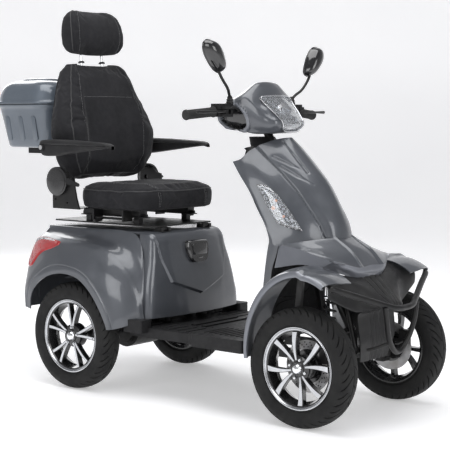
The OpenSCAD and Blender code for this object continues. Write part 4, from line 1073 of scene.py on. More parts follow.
tyre = tyre_mesh("tyre")
rims = {"front": rim_mesh("rim_front", False), "rear": rim_mesh("rim_rear", True)}
for axle, x, track in (("front", WHEELBASE, FRONT_TRACK), ("rear", 0, REAR_TRACK)):
    for suffix, s in (("right", -1), ("left", 1)):
        name = axle + "_" + suffix
        left = s > 0
        place("tyre_" + name + "_tread", tyre, (x, s * track, TYRE_R), left, "wheel_" + name,
              "tyre_" + name)
        place("rim_" + name + "_cast", rims[axle], (x, s * track, TYRE_R), left, "wheel_" + name,
              "rim_" + name)


def disc_mesh():
    """Brake disc whose drilled holes are painted shade: thin dark discs on its outer face; y from -8 (outer)
    to 8.
    """
    parts = Parts()
    n = 96
    prof = [(58, -2.4), (91.5, -2.4), (92, -2), (92, 2), (91.5, 2.4), (58, 2.4)]
    parts.add(*revolve(prof, n, (0, 0, 0), (0, 1, 0)))
    parts.add(*revolve([(20, -7), (40, -7), (44, -3), (60, -2.8), (60, 2.8), (20, 3)], n, (0, 0, 0),
                       (0, 1, 0)), 1)
    # Painted shade of the drilled holes: thin dark discs laid on the outer face, where no hole is cut
    for k in range(24):
        a = 2 * math.pi * k / 24
        for rr, da in ((68, 0), (76, 0.09), (84, 0.17)):
            c = (rr * math.cos(a + da), 0, rr * math.sin(a + da))
            parts.add(*revolve([(0.01, -2.55), (2.6, -2.55), (2.6, -2.3), (0.01, -2.3)], 12, c, (0, 1, 0),
                               closed=False), 1)
    return loose_mesh("disc_src", parts.v, parts.f, [steel, rim_black], 30, parts.m)


disc = disc_mesh()
for suffix, s in (("right", -1), ("left", 1)):
    place("brake_rotor_" + suffix, disc, (WHEELBASE, s * 264, TYRE_R), s > 0, "wheel_front_" + suffix,
          "brake_disc_" + suffix)
    # Caliper on the knuckle, behind the disc
    parts = Parts()
    o = [(WHEELBASE - 96, 236), (WHEELBASE - 60, 262), (WHEELBASE - 44, 240), (WHEELBASE - 52, 180),
         (WHEELBASE - 66, 160),
         (WHEELBASE - 98, 176)]
    ys = sorted((s * 249, s * 255.4))
    parts.add(*extrude(o, ys[0], ys[1], "xz", 2.5))
    parts.build("brake_caliper_" + suffix, [alu], "steer_" + suffix, "steel")
    softened("knuckle_" + suffix, frame_black, "steer_" + suffix, 1.5)

# ------------------------------------------------------------------ frame, axles, suspension

softened("chassis_frame", frame_black, "chassis", 2.0)
softened("front_axle", frame_black, "front_suspension", 1.6)
softened("rear_axle", frame_black, "rear_suspension", 2.0)
softened("tie_rod", steel, "steering_link", 1.0)
softened("steering_column", frame_black, "handlebar", 1.0)
softened("plate_hinges", frame_black, "chassis", 0.8)
softened("motor_controller", alu, "chassis", 1.0)
softened("battery_pack", battery_case, "chassis", 2.0)
softened("front_shock_tubes", chrome, "chassis", 1.0)


def coil(name, x, y, z0, z1, radius, wire, turns, nodes):
    """A pair of coil springs, one each side, with flattened ends."""
    parts = Parts()
    for s in (-1, 1):
        t = np.linspace(0, 1, int(turns * 26))
        a = t * turns * 2 * math.pi * s
        flat = np.clip(np.minimum(t, 1 - t) * turns / 0.9, 0, 1)
        z = z0 + wire + (z1 - z0 - 2 * wire) * t
        pts = np.stack([x + radius * np.cos(a), s * y + radius * np.sin(a), z], 1)
        parts.add(*sweep(pts, wire * (0.55 + 0.45 * flat), 12))
    ob = parts.build(name, [frame_black], "chassis", "spring_black")
    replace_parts(ob, nodes)
    return ob


coil("front_coils", 1105, 172, 262, 439, 19.5, 4.6, 6.5, "front_springs")
coil("rear_coils", -45, 170, 249, 439, 21.5, 5.2, 6.5, "rear_springs")

# Bumper: bent bars with rounded ends, and their stays
parts = Parts()
for s in (-1, 1):
    hook = spline([(1196, s * 303, 494), (1203, s * 306, 492), (1212, s * 292, 487), (1240, s * 215, 461),
                   (1286, s * 96, 420),
                   (1299, s * 62, 410), (1304, s * 30, 406), (1304, 0, 405)], 80)
    parts.add(*sweep(hook, [9 if i < 2 else 11 for i in range(80)], 18))
    loop = spline([(1289, s * 104, 415), (1289, s * 91, 357), (1284, s * 70, 303), (1280, s * 42, 267),
                   (1277, s * 16, 248),
                   (1276, 0, 245)], 60)
    parts.add(*sweep(loop, 9.6, 16))
    parts.add(*sweep([(1282, s * 58, 284), (1262, s * 66, 276), (1232, s * 82, 262), (1210, s * 95, 256)],
                     6.2, 12))
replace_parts(parts.build("bumper", [frame_black], "chassis", "frame_black"), "bumper_bar")


# ------------------------------------------------------------------ headlamp pod and handlebar

POD = [  # x, half width, lowest, highest, squareness of the top
    (586, 140, 1048, 1104), (590, 156, 1028, 1122), (612, 158, 1022, 1146), (640, 153, 1018, 1168),
       (668, 146, 1011, 1188),
    (694, 138, 1006, 1199), (716, 130, 1005, 1180), (742, 121, 1005, 1142), (766, 110, 1006, 1108),
       (786, 101, 1010, 1086),
    (804, 88, 1022, 1070), (814, 66, 1034, 1056)]


def pod_ring(x, w, lo, hi, n=120):
    """A pod section: a flat top narrower than its shoulders, flanks that draw in towards the chin."""
    mid, h = (lo + hi) / 2, (hi - lo) / 2
    tall = min(1, (hi - lo) / 150)
    top_w = w * (0.5 if tall > 0.8 else 0.8)
    shoulder = lo + (hi - lo) * 0.62
    pts = [(0, hi), (top_w * 0.6, hi - 3), (top_w, hi - 11), (w * 0.93, shoulder + (hi - shoulder) * 0.30),
           (w, shoulder - 2),
           (w * 0.985, lo + (hi - lo) * 0.30), (w * 0.80, lo + (hi - lo) * 0.08), (w * 0.66, lo + 1), (0, lo)]
    full = pts + [(-a, b) for a, b in pts[-2:0:-1]]
    return [(x, a, b) for a, b in spline(full, n, closed=True)]


rings = np.array([pod_ring(*s) for s in POD])
pod_g = np.array([spline(rings[:, j], 150) for j in range(rings.shape[1])]).transpose(1, 0, 2)
cen = np.array([690.0, 0, 1085.0])
n = outward(pod_g, cen)
HAND = [(597, 1056), (604, 1034), (640, 1021), (684, 1030), (698, 1052), (690, 1080), (652, 1112),
        (618, 1118), (599, 1096)]
hand_soft = [(a, b) for a, b in spline(HAND, 60, closed=True)]
flank = np.abs(pod_g[..., 1]) > 84
d_hand = np.where(flank, in_polygon(pod_g, hand_soft, (0, 2)), -50.0)
ring_band = step(d_hand, -15, -12) * (1 - step(d_hand, -3, 0))
pod_g = pod_g + n * (4.0 * ring_band)[..., None]
recess = step(d_hand, 0, 4)
pod_g[..., 1] -= np.sign(pod_g[..., 1]) * 26 * recess
# Lamp opening at the front: the shell steps in under the bezel
LAMP = [(-88, 1138), (-40, 1146), (40, 1146), (88, 1138), (80, 1094), (64, 1052), (54, 1024), (28, 1015),
        (-28, 1015), (-54, 1024),
        (-64, 1052), (-80, 1094)]
lamp_soft = [(a, b) for a, b in spline(LAMP, 90, closed=True)]
front_part = pod_g[..., 0] > 702
d_lamp = np.where(front_part & (n[..., 0] > 0.12), in_polygon(pod_g, lamp_soft, (1, 2)), -50.0)
pod_g[..., 0] -= 9 * step(d_lamp, 0, 4)
crease_line = [(648, -92, 1176), (700, -82, 1190), (742, -92, 1134)]
for line in (crease_line, both(crease_line)):
    pod_g = groove(pod_g, n, line, 2.2, 2.6)
nu, nv = pod_g.shape[:2]
v = pod_g.reshape(-1, 3)
f = grid_faces(nu, nv, wrap_cols=True)


def ring_faces(field):
    """The mean of a closed grid of point values at each face."""
    nxt = np.roll(field, -1, 1)
    return (0.25 * (field[:-1] + field[1:] + nxt[:-1] + nxt[1:])).reshape(-1)


# The raised ring round the hand recess takes slot 1, the lighter copy of the body paint: painted highlight;
# the recess and the lamp opening take gloss black
mats = np.where(ring_faces(d_hand) > 1.5, 3, np.where(ring_faces(ring_band) > 0.5, 1,
        np.where(ring_faces(d_lamp) > 0, 3, 0)))
f += [tuple(range(nv))[::-1], tuple(range((nu - 1) * nv, nu * nv))]
parts = Parts().add(v, f, list(mats) + [0, 3])
pod = parts.build("lamp_pod", PAINTS, "handlebar", "body_paint")
fix_normals(pod.data)
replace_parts(pod, "headlamp_pod")

# Headlamp: reflector, chrome bezel and clear lens
pod_tree = BVHTree.FromObject(pod, bpy.context.evaluated_depsgraph_get())


def on_pod(y, z, out):
    """The point on the pod's front at a place seen from ahead, moved out along the line of sight."""
    o = Vector(metres([(900, y, z)])[0])
    hit = pod_tree.ray_cast(o, Vector((-1, 0, 0)))
    x = 760 if hit[0] is None else (hit[0].x - AXLE_X) / MM
    return (x + out, y, z)


rows = 34
lens_v, tray_v = [], []
m = len(lamp_soft)
lc = np.array([0.0, 1086.0])
for i in range(rows):
    s = 0.985 * (1 - i / (rows - 1)) + 0.002
    for k, (a, b) in enumerate(lamp_soft):
        y, z = lc + (np.array([a, b]) - lc) * s
        p = on_pod(y, z, 0)
        lens_v.append((p[0] + 11.5 - 3.0 * s ** 6, y, z))
        tray_v.append((p[0] + 1.5 - 0.9 * math.cos(z * 0.55), y, z))
f = grid_faces(rows, m, wrap_cols=True) + [tuple(range((rows - 1) * m, rows * m))]
k = len(lens_v)
lens_parts = Parts()
lens_parts.add(lens_v + [(x - 2.2, y, z) for x, y, z in lens_v],
               f + [tuple(i + k for i in q)[::-1] for q in f]
               + [(j, (j + 1) % m, (j + 1) % m + k, j + k)[::-1] for j in range(m)], 0)
lens = lens_parts.build("headlamp_glass", [lens_glass], "handlebar", "clear_lens")
fix_normals(lens.data)
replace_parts(lens, "headlamp_lens")
tp = Parts().add(tray_v + [(x - 1.5, y, z) for x, y, z in tray_v],
                 f + [tuple(i + k for i in q)[::-1] for q in f]
                 + [(j, (j + 1) % m, (j + 1) % m + k, j + k)[::-1] for j in range(m)], 0)
vv, ff = revolve([(0.01, 3), (9, 3.5), (22, 6), (31, 8.6), (33, 8.6), (33, -2), (0.01, -2)], 56,
                 on_pod(0, 1088, 0), (0.85, 0, 0.5),
                 closed=False)
tp.add(vv, ff, 1)
tray = tp.build("headlamp_reflector", [clear_strip, chrome], "handlebar", "clear_lens")
fix_normals(tray.data)
bez = np.array([on_pod(a, b, 0) for a, b in lamp_soft])
for _ in range(6):
    bez[:, 0] = 0.5 * bez[:, 0] + 0.25 * (np.roll(bez[:, 0], 1) + np.roll(bez[:, 0], -1))
bez[:, 0] += 7.0
v, f = sweep(bez, 2.5, 12, closed=True)
Parts().add(v, f, 0).build("headlamp_bezel", [machined], "handlebar", "clear_lens")

# Grips with rings and end caps
BEND = np.array([655.0, -215.0, 1090.0])
ENDP = np.array([628.0, -385.0, 1075.0])
BAR = (ENDP - BEND) / np.linalg.norm(ENDP - BEND)
length = np.linalg.norm(ENDP - BEND)
prof = [(11.5, 42), (20, 42), (20.5, 44), (20, 48), (17, 50)]
t = 52.0
while t < length - 6:
    prof += [(16.6, t), (17.4, t + 0.8), (17.4, t + 2.6), (16.6, t + 3.4)]
    t += 4.2
prof += [(17, length - 4), (19.2, length - 2.5), (19.2, length + 1), (17.5, length + 4.5),
         (12, length + 6.5), (0.01, length + 7.2),
         (0.01, length - 4), (11.5, length - 4)]
for side, name_, node_, body_ in ((1, "grip_right_rubber", "throttle_grip", "throttle"),
                                  (-1, "grip_left_rubber", "grip_left", "handlebar")):
    v, f = revolve(prof, 64, tuple(BEND), tuple(BAR))
    if side < 0:
        v, f = flip_y(v), [q[::-1] for q in f]
    ob = Parts().add(v, f, 0).build(name_, [grip_rubber], body_, "grip_rubber")
    fix_normals(ob.data)
    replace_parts(ob, node_)

# Brake levers: a curved blade with a ball end
for side, suffix in ((1, "right"), (-1, "left")):
    path = spline([(682, -226, 1086.5), (692, -238, 1086.5), (700, -268, 1086.5), (697, -318, 1086),
                   (689, -362, 1086), (684, -382, 1086)], 50)
    t = np.linspace(0, 1, 50)
    rad = 6.4 - 1.9 * np.sin(math.pi * np.clip(t * 1.15, 0, 1)) + 0.6 * t
    v, f = sweep(path, rad, 18, flat=0.82)
    p = Parts().add(v, f, 0)
    p.add(*revolve([(0.01, -6.6), (4, -5.6), (6.4, -2.4), (6.9, 0), (6.4, 2.4), (4, 5.6), (0.01, 6.6)], 28,
                   (684, -384, 1086), (0, 0, 1), closed=False))
    p.add(*revolve([(3.2, -6), (8.4, -6), (9, -5), (9, 6.5), (8.4, 7.5), (3.2, 7.5)], 36,
                   (682, -226, 1086.5), (0, 0, 1)))
    if side < 0:
        p.mirror()
    ob = p.build("lever_" + suffix, [frame_black], "lever_" + suffix, "bare_aluminium")
    fix_normals(ob.data)
    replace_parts(ob, "brake_lever_" + suffix)
softened("switch_pods", black_plastic, "handlebar", 4.0, 3)
parts = Parts()
for s in (-1, 1):   # thumb switches on the faces towards the rider
    for y, z, w, h in ((236, 1104, 5, 3.2), (222, 1082, 6, 3), (196, 1100, 4, 5)):
        if s > 0 and y == 236:
            continue
        parts.add(*extrude([(a + s * y, b + z) for a, b in rounded_rect(w, h, 2)], 628.5, 634, "yz", 0.8))
parts.build("bar_switches", [gloss_black], "handlebar", "black_plastic")
v, f = revolve([(0.01, -3.5), (6.8, -3.5), (6.8, 5), (5.6, 7), (3, 7.8), (0.01, 8)], 40, (634, 230, 1100),
               (-1, 0, 0), closed=False)
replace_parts(Parts().add(v, f, 0).build("horn_knob", [amber], "horn", "amber_plastic"), "horn_button")
# Cable guides from the switches to the pod
parts = Parts()
for s in (-1, 1):
    pts = spline([(684, s * 216, 1098), (692, s * 196, 1102), (690, s * 172, 1098), (676, s * 150, 1092),
                  (664, s * 128, 1090)], 40)
    parts.add(*sweep(pts, 3.4, 12))
parts.build("brake_lines", [frame_black], "handlebar", "frame_black")

# Mirrors: teardrop shells with a seam, glass on the rider's side, and a booted stem
for side, suffix in ((1, "right"), (-1, "left")):
    p = Parts()
    stem = spline([(670, -190, 1117), (670, -190, 1134), (678, -204, 1152), (690, -228, 1172),
                   (692, -262, 1206), (691, -284, 1238),
                   (690, -296, 1262)], 60)
    p.add(*sweep(stem, 5.4, 16), 1)
    p.add(*revolve([(5, 0), (13, 0), (14, 2), (14, 6), (11, 9), (12.5, 12), (12.5, 15), (9.5, 18),
                    (10.5, 21), (8, 26), (5.2, 30)], 40,
                   (670, -190, 1116.5), (0, 0, 1)), 1)
    hexa = [(670 + 9.4 * math.cos(math.radians(60 * i)), -190 + 9.4 * math.sin(math.radians(60 * i)))
            for i in range(6)]
    v, f = extrude(hexa, 1117, 1122.5, "xy", 1.0)
    p.add(v, f, 1)
    # Head: outline in the plane across the machine, about its middle
    outline = [(-254, 1236), (-270, 1226), (-292, 1232), (-322, 1258), (-348, 1292), (-355, 1320),
               (-346, 1337), (-326, 1341),
               (-300, 1334), (-276, 1306), (-262, 1276), (-253, 1250)]
    o = np.array([(a, b) for a, b in spline(outline, 96, closed=True)])
    c = o.mean(0)
    rings = []
    for s, x in ((0.90, 676.5), (0.97, 676), (1.0, 678), (1.0, 682), (0.985, 690), (0.93, 702), (0.80, 713),
                 (0.58, 721), (0.30, 725.5),
                 (0.04, 727)):
        rings.append([(x, *(c + (q - c) * s)) for q in o])
    rings = np.array(rings)
    v = rings.reshape(-1, 3)
    f = grid_faces(len(rings), 96, wrap_cols=True) + [tuple(range(96))[::-1],
            tuple(range((len(rings) - 1) * 96, len(rings) * 96))]
    p.add(v, f, 0)
    glass = np.array([[(675.2, *(c + (q - c) * s)) for q in o] for s in (0.91, 0.6, 0.3, 0.02)])
    glass[..., 0] -= np.array([0, 0.9, 1.3, 1.5])[:, None]
    v = np.vstack([glass.reshape(-1, 3), glass.reshape(-1, 3) + (2, 0, 0)])
    k = 4 * 96
    fg_ = grid_faces(4, 96, wrap_cols=True) + [tuple(range(3 * 96, 4 * 96))]
    p.add(v, fg_ + [tuple(i + k for i in q)[::-1] for q in fg_]
          + [(j, (j + 1) % 96, (j + 1) % 96 + k, j + k)[::-1] for j in range(96)], 2)
    rib = np.array([(683.0, *(c + (q - c) * 1.008)) for q in o])
    p.add(*sweep(rib, 1.5, 8, closed=True))
    if side < 0:
        p.mirror()
    ob = p.build("mirror_head_" + suffix, [gloss_black, frame_black, mirror_glass], "mirror_arm_" + suffix,
                 "gloss_black")
    fix_normals(ob.data)
    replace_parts(ob, "mirror_" + suffix)


# ------------------------------------------------------------------ seat

def pad_mesh(name, sections, cap_rings=7):
    """A closed form from rings of points (millimetres, x from the rear axle), its first and last ring
    closed in."""
    rings = np.array(sections, float)
    n = rings.shape[1]
    v = rings.reshape(-1, 3)
    f = grid_faces(len(rings), n, wrap_cols=True)
    base = 0
    for end, flip in ((0, True), (len(rings) - 1, False)):
        ring_ids = [end * n + j for j in range(n)]
        c = rings[end].mean(0)
        prev = ring_ids
        for s in np.linspace(1, 0, cap_rings)[1:-1]:
            start = len(v)
            v = np.vstack([v, c + (rings[end] - c) * s])
            ids = [start + j for j in range(n)]
            for j in range(n):
                q = (prev[j], prev[(j + 1) % n], ids[(j + 1) % n], ids[j])
                f.append(q[::-1] if flip else q)
            prev = ids
        v = np.vstack([v, c])
        for j in range(n):
            q = (prev[j], prev[(j + 1) % n], len(v) - 1)
            f.append(q[::-1] if flip else q)
    me = bpy.data.meshes.new(name)
    me.from_pydata([tuple(p) for p in metres(v)], [], f)
    ob = bpy.data.objects.new(name, me)
    bpy.context.scene.collection.objects.link(ob)
    fix_normals(me)
    return ob


def apply_mods(ob):
    """Makes an object's modifiers part of its mesh."""
    dg = bpy.context.evaluated_depsgraph_get()
    dg.update()
    me = bpy.data.meshes.new_from_object(ob.evaluated_get(dg))
    old = ob.data
    ob.modifiers.clear()
    ob.data = me
    bpy.data.meshes.remove(old)


def stuff(ob, voxel=0.006, pressure=4.0, cap=0.020, keep=None):
    """Swells a pad by cloth simulation. keep gives each point's share of the movement, to hold it
    where it is fixed."""
    m = ob.modifiers.new("voxels", "REMESH")
    m.mode = "VOXEL"
    m.voxel_size = voxel
    apply_mods(ob)
    rest = np.array([q.co for q in ob.data.vertices])
    scene = bpy.context.scene
    scene.frame_start, scene.frame_end = 1, 20
    c = ob.modifiers.new("cloth", "CLOTH")
    s = c.settings
    s.quality = 5
    s.mass = 0.4
    s.tension_stiffness = 26
    s.compression_stiffness = 26
    s.shear_stiffness = 12
    s.bending_stiffness = 1.2
    s.use_pressure = True
    s.uniform_pressure_force = pressure
    s.effector_weights.gravity = 0.0
    c.collision_settings.use_collision = False
    for frame_no in range(1, 21):
        scene.frame_set(frame_no)
    apply_mods(ob)
    scene.frame_set(1)
    now = np.array([q.co for q in ob.data.vertices])
    move = now - rest
    d = np.linalg.norm(move, axis=1, keepdims=True)
    move *= np.minimum(1, cap / np.maximum(d, 1e-9))
    if keep is not None:
        move *= keep(rest)[:, None]
    ob.data.vertices.foreach_set("co", (rest + move).ravel())
    ob.data.update()


def carve(ob, lines, width=4.0, depth=5.0, puff=0.0, puff_width=16.0):
    """Sinks sewn seams into a pad along lines near its surface, and lets the cloth stand up beside them."""
    me = ob.data
    co = np.array([q.co for q in me.vertices])
    nn = np.array([q.normal for q in me.vertices])
    mm = (co - [AXLE_X, 0, 0]) / MM
    for line in lines:
        d = line_distance(mm, line)
        mm = mm - nn * (depth * np.exp(-(d / width) ** 2))[:, None]
        mm = mm + nn * (puff * np.exp(-((d - 1.5 * width) / puff_width) ** 2) * (d > 0.8 * width))[:, None]
    me.vertices.foreach_set("co", (mm * MM + [AXLE_X, 0, 0]).ravel())
    me.update()


def finish_pad(ob, material, body, nodes):
    """Gives a pad its fine mesh, its material and its frame entries."""
    m = ob.modifiers.new("fine", "SUBSURF")
    m.levels = m.render_levels = 1
    apply_mods(ob)
    ob.data.materials.clear()
    ob.data.materials.append(material)
    ob.data.polygons.foreach_set("material_index", [0] * len(ob.data.polygons))
    ob.data.polygons.foreach_set("use_smooth", [True] * len(ob.data.polygons))
    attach(ob, body)
    if nodes:
        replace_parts(ob, *nodes)


def on_surface(ob, line, n=120, out=0.6, closed=False):
    """A line of points dropped onto the nearest place of a surface, in millimetres, with the normals
    there."""
    tree = BVHTree.FromObject(ob, bpy.context.evaluated_depsgraph_get())
    pts = spline(line, n, closed=closed)
    res, nor = [], []
    for p in metres(pts):
        loc, nrm, _, _ = tree.find_nearest(Vector(p))
        q = (np.array(loc) - [AXLE_X, 0, 0]) / MM + np.array(nrm) * out
        res.append(q)
        nor.append(np.array(nrm))
    res = np.array(res)
    for _ in range(3):
        if closed:
            res = 0.5 * res + 0.25 * (np.roll(res, 1, 0) + np.roll(res, -1, 0))
        else:
            res[1:-1] = 0.5 * res[1:-1] + 0.25 * (res[2:] + res[:-2])
    return res, np.array(nor)


def welt(name, ob, lines, body, radius=2.6, out=0.8, closed=False, n=160):
    """Piping sewn along lines on a pad."""
    p = Parts()
    for line in lines:
        pts, _ = on_surface(ob, line, n, out, closed)
        p.add(*sweep(pts, radius, 10, closed=closed))
    return p.build(name, [piping], body, "seat_cloth")


def stitches(name, ob, lines, body, offset=5.0, length=4.2, gap=2.6, radius=0.55):
    """Rows of thread along lines on a pad."""
    p = Parts()
    for line in lines:
        total = np.linalg.norm(np.diff(np.array(spline(line, 200)), axis=0), axis=1).sum()
        count = int(total / (length + gap))
        pts, nor = on_surface(ob, line, count * 4 + 1, 0.25)
        for k in range(count):
            seg = pts[4 * k:4 * k + 3]
            q = seg + np.array([[-0.5], [0.35], [-0.5]]) * nor[4 * k:4 * k + 3]
            p.add(*sweep(q, radius, 6))
    return p.build(name, [thread], body, "seat_cloth")


LEAN = math.radians(6)
RECLINE = (-160.0, 810.0)


def leant(h, u, y):
    """A point given by its height and forward distance along the leaning backrest."""
    return (RECLINE[0] + u * math.cos(LEAN) - h * math.sin(LEAN), y,
            RECLINE[1] + u * math.sin(LEAN) + h * math.cos(LEAN))


# Cushion: crowned, with raised bolsters at its sides and a rolled front edge
CUSH_PLAN = [(-116, 150), (-100, 196), (-50, 228), (40, 240), (150, 240), (222, 232), (262, 208),
             (281, 165), (288, 100), (290, 0)]


def cushion_ring(z, inset, dish):
    """The outline of the seat cushion at one height, drawn in by inset."""
    pts = [(x, -y) for x, y in CUSH_PLAN]
    cx = 88.0
    out = []
    full = pts + [(x, -y) for x, y in pts[-2::-1]]
    for x, y in spline(full, 150, closed=True):
        d = math.hypot(x - cx, y) + 1e-6
        k = max(0.0, 1 - inset / d)
        out.append((cx + (x - cx) * k, y * k, z + dish * abs(y) / 240))
    return out


layers = [(705, 26, 0), (709, 12, 0), (718, 4, 0), (734, 0, 0), (752, -1, 0), (768, 0, 0), (779, 4, 1),
          (787, 13, 2), (791, 30, 3),
          (791, 60, 2), (789, 100, 0), (788, 150, 0)]
cushion = pad_mesh("seat_cushion_pad", [cushion_ring(z, i + 3, d) for z, i, d in layers])
stuff(cushion, 0.006, 4.0, 0.016, keep=lambda r: np.clip((r[:, 2] - 0.703) / 0.02, 0, 1) * 0.85)
edge = [(x, -y, 783) for x, y in [(-112, 140), (-98, 190), (-50, 221), (40, 233), (150, 233), (216, 226),
                                  (254, 203), (272, 163),
                                  (279, 100), (281, 0)]]
edge_loop = edge + [(x, -y, z) for x, y, z in edge[-2::-1]]
inner_seams = [[(-100, s * 168, 795), (0, s * 172, 797), (120, s * 168, 797), (215, s * 150, 794),
                (262, s * 140, 782),
                (286, s * 138, 755), (286, s * 138, 712)] for s in (-1, 1)]
carve(cushion, [edge_loop + edge_loop[:1]], 5, 3.0, 0.8)
carve(cushion, inner_seams, 4.5, 6.0, 2.0)
carve(cushion, [[(-20, -150, 795), (-20, 0, 795), (-20, 150, 795)],
                [(110, -150, 795), (110, 0, 795), (110, 150, 795)]], 5, 3.5, 1.0)
finish_pad(cushion, cloth, "seat", ["seat_cushion"])
welt("cushion_piping", cushion, [edge_loop], "seat", 2.7, 0.6, closed=True, n=320)
stitches("cushion_stitching", cushion, [[(x, y * 1.028, z) for x, y, z in s] for s in inner_seams]
         + [[(x, y * 0.972, z) for x, y, z in s] for s in inner_seams], "seat")

# Backrest
BACK = [  # height above the pivot, half width, front of the middle, front of the bolsters, back, corner
    (8, 196, 44, 50, -48), (34, 214, 56, 68, -62), (90, 238, 60, 84, -70), (140, 246, 60, 90, -72),
        (190, 252, 60, 92, -74),
    (250, 244, 58, 84, -74), (320, 226, 50, 70, -73), (390, 204, 40, 52, -70), (440, 186, 30, 38, -66),
        (470, 170, 20, 26, -58),
    (486, 150, 8, 12, -44)]


def back_ring(h, w, mid, side, back, inset=3.0):
    """A section of the backrest at height h above its pivot."""
    w, mid, side, back = w - inset, mid - inset, side - inset, back + inset
    seam_y = min(171, w * 0.80)
    pts = [(back, 0), (back + 1, w * 0.55), (back + 10, w * 0.88), (back + 34, w), (-10, w + 1),
           (side - 40, w),
           (side - 12, w * 0.95), (side, w * 0.86), (side - 6, seam_y), (mid + 1, seam_y * 0.80),
           (mid + 3, w * 0.3), (mid + 4, 0)]
    full = pts + [(u, -y) for u, y in pts[-2:0:-1]]
    return [leant(h, u, y) for u, y in spline(full, 170, closed=True)]


hs = np.linspace(8, 486, 60)
B = np.array(BACK, float)
table_b = [np.interp(hs, B[:, 0], B[:, k]) for k in range(1, 5)]
for k in range(4):
    for _ in range(2):
        table_b[k][1:-1] = 0.5 * table_b[k][1:-1] + 0.25 * (table_b[k][2:] + table_b[k][:-2])
backrest = pad_mesh("backrest_pad", [back_ring(h, *[t[i] for t in table_b]) for i, h in enumerate(hs)])
stuff(backrest, 0.006, 4.0, 0.014)
bolster = [[leant(20, 60, s * 140), leant(90, 76, s * 166), leant(190, 80, s * 176),
            leant(280, 74, s * 170), leant(360, 56, s * 156),
            leant(430, 34, s * 138), leant(484, 6, s * 118)] for s in (-1, 1)]
cross = [[leant(h, 64, y) for y in (-168, -80, 0, 80, 168)] for h in (120, 215)]
top_seam = [leant(330, 50, y) for y in (-158, -80, 0, 80, 158)]
gusset = [[leant(12, 60, s * 186), leant(60, 76, s * 220), leant(140, 86, s * 238), leant(230, 84, s * 238),
           leant(320, 64, s * 216),
           leant(400, 44, s * 192), leant(450, 26, s * 168), leant(478, 6, s * 140),
           leant(486, -16, s * 90)] for s in (-1, 1)]
carve(backrest, bolster, 4.5, 7.0, 2.0)
carve(backrest, cross + [top_seam], 4.5, 5.0, 1.2)
carve(backrest, gusset, 4.0, 2.5, 0.5)
for s in (-1, 1):
    pivot = leant(140, -32, s * 250)
    for k in range(7):
        a = math.radians(-70 + 40 * k)
        carve(backrest, [[(pivot[0] + r * math.cos(a), s * 250, pivot[2] + r * math.sin(a))
                          for r in (24, 44, 66)]],
              3.0, 2.6, 0.6, 7)
finish_pad(backrest, cloth, "backrest_assembly", ["backrest"])
welt("backrest_piping", backrest, gusset, "backrest_assembly", 2.7, 0.6, n=240)
stitches("backrest_stitching", backrest, [[(x, y + (4.5 if y < 0 else -4.5), z) for x, y, z in b]
        for b in bolster]
         + [[(x, y, z + 5) for x, y, z in top_seam]], "backrest_assembly")

# Hard rear shell of the backrest
shell_rows = []
for h in (30, 90, 170, 250, 330, 400, 452):
    w = float(np.interp(h, B[:, 0], B[:, 1])) * 0.93
    b = float(np.interp(h, B[:, 0], B[:, 4]))
    shell_rows.append([leant(h, b + 26 * (abs(t) > 0.95) + 7 * (abs(t) > 0.8) - 7, w * t)
                       for t in (-1, -0.85, -0.5, 0, 0.5, 0.85, 1)])
g = patch(shell_rows, 90, 90)
n = outward(g, leant(200, 60, 0))
for k in range(3):
    h = 130 + 70 * k
    g = groove(g, n, [leant(h, -74, -120), leant(h, -74, 120)], 7, 4.0)
parts = Parts()
add_grid(parts, g, leant(200, 60, 0), thick=5, mirror=False)
parts.build("backrest_shell", [black_plastic], "backrest_assembly", "seat_cloth")

# Headrest on two posts
HEAD = [(524, 128, 20, -36), (536, 144, 34, -48), (560, 156, 42, -54), (600, 158, 45, -55),
        (640, 153, 42, -53), (672, 142, 34, -50),
        (692, 124, 20, -40), (702, 104, 4, -26)]
hs = np.linspace(524, 702, 34)
Hh = np.array(HEAD, float)
rings = []
for h in hs:
    w, fr, bk = [float(np.interp(h, Hh[:, 0], Hh[:, k])) - (3 if k != 3 else -3) for k in (1, 2, 3)]
    m_ = (fr + bk) / 2
    pts = [(bk, 0), (bk + 2, w * 0.6), (bk + 12, w * 0.92), (m_, w), (fr - 12, w * 0.96),
           (fr - 1, w * 0.84), (fr - 3, w * 0.5), (fr - 3, 0)]
    full = pts + [(u, -y) for u, y in pts[-2:0:-1]]
    rings.append([leant(h, u, y) for u, y in spline(full, 130, closed=True)])
headrest = pad_mesh("headrest_pad", rings)
stuff(headrest, 0.0055, 4.0, 0.010)
head_seams = [[leant(526, 22, s * 112), leant(570, 44, s * 122), leant(620, 46, s * 122),
               leant(676, 32, s * 112), leant(700, 6, s * 90),
               leant(702, -24, s * 84)] for s in (-1, 1)]
head_side = [[leant(528, 8, s * 130), leant(560, 30, s * 154), leant(610, 32, s * 157),
              leant(660, 24, s * 148), leant(690, 8, s * 128),
              leant(702, -10, s * 96)] for s in (-1, 1)]
carve(headrest, head_seams, 3.6, 5.0, 1.4)
carve(headrest, head_side, 3.2, 2.0, 0.4)
finish_pad(headrest, cloth, "head", ["headrest"])
welt("headrest_piping", headrest, head_side, "head", 2.4, 0.5, n=160)
stitches("headrest_stitching", headrest, [[(x, y + (4.5 if y < 0 else -4.5), z) for x, y, z in b]
        for b in head_seams], "head")
parts = Parts()
for s in (-1, 1):
    parts.add(*sweep([leant(402, -20, s * 60), leant(470, -20, s * 60), leant(535, -20, s * 60)], 5.8, 20))
parts.build("headrest_posts", [chrome], "head", "seat_cloth")
parts = Parts()
for s in (-1, 1):
    parts.add(*revolve([(6.4, 0), (13, 0), (13.5, 2), (12, 6), (8, 8), (6.4, 8)], 32,
                       leant(486, -20, s * 60), (-math.sin(LEAN), 0, math.cos(LEAN))))
ob = parts.build("headrest_guides", [black_plastic], "backrest_assembly", "seat_cloth")

# Armrests: a chamfered pad over a tapered body, on a bolt
ARM = leant(140, -32, 0)


def arm_point(u, y, z):
    """A point given from the armrests' pivot."""
    return (ARM[0] + u, y, ARM[2] + z)


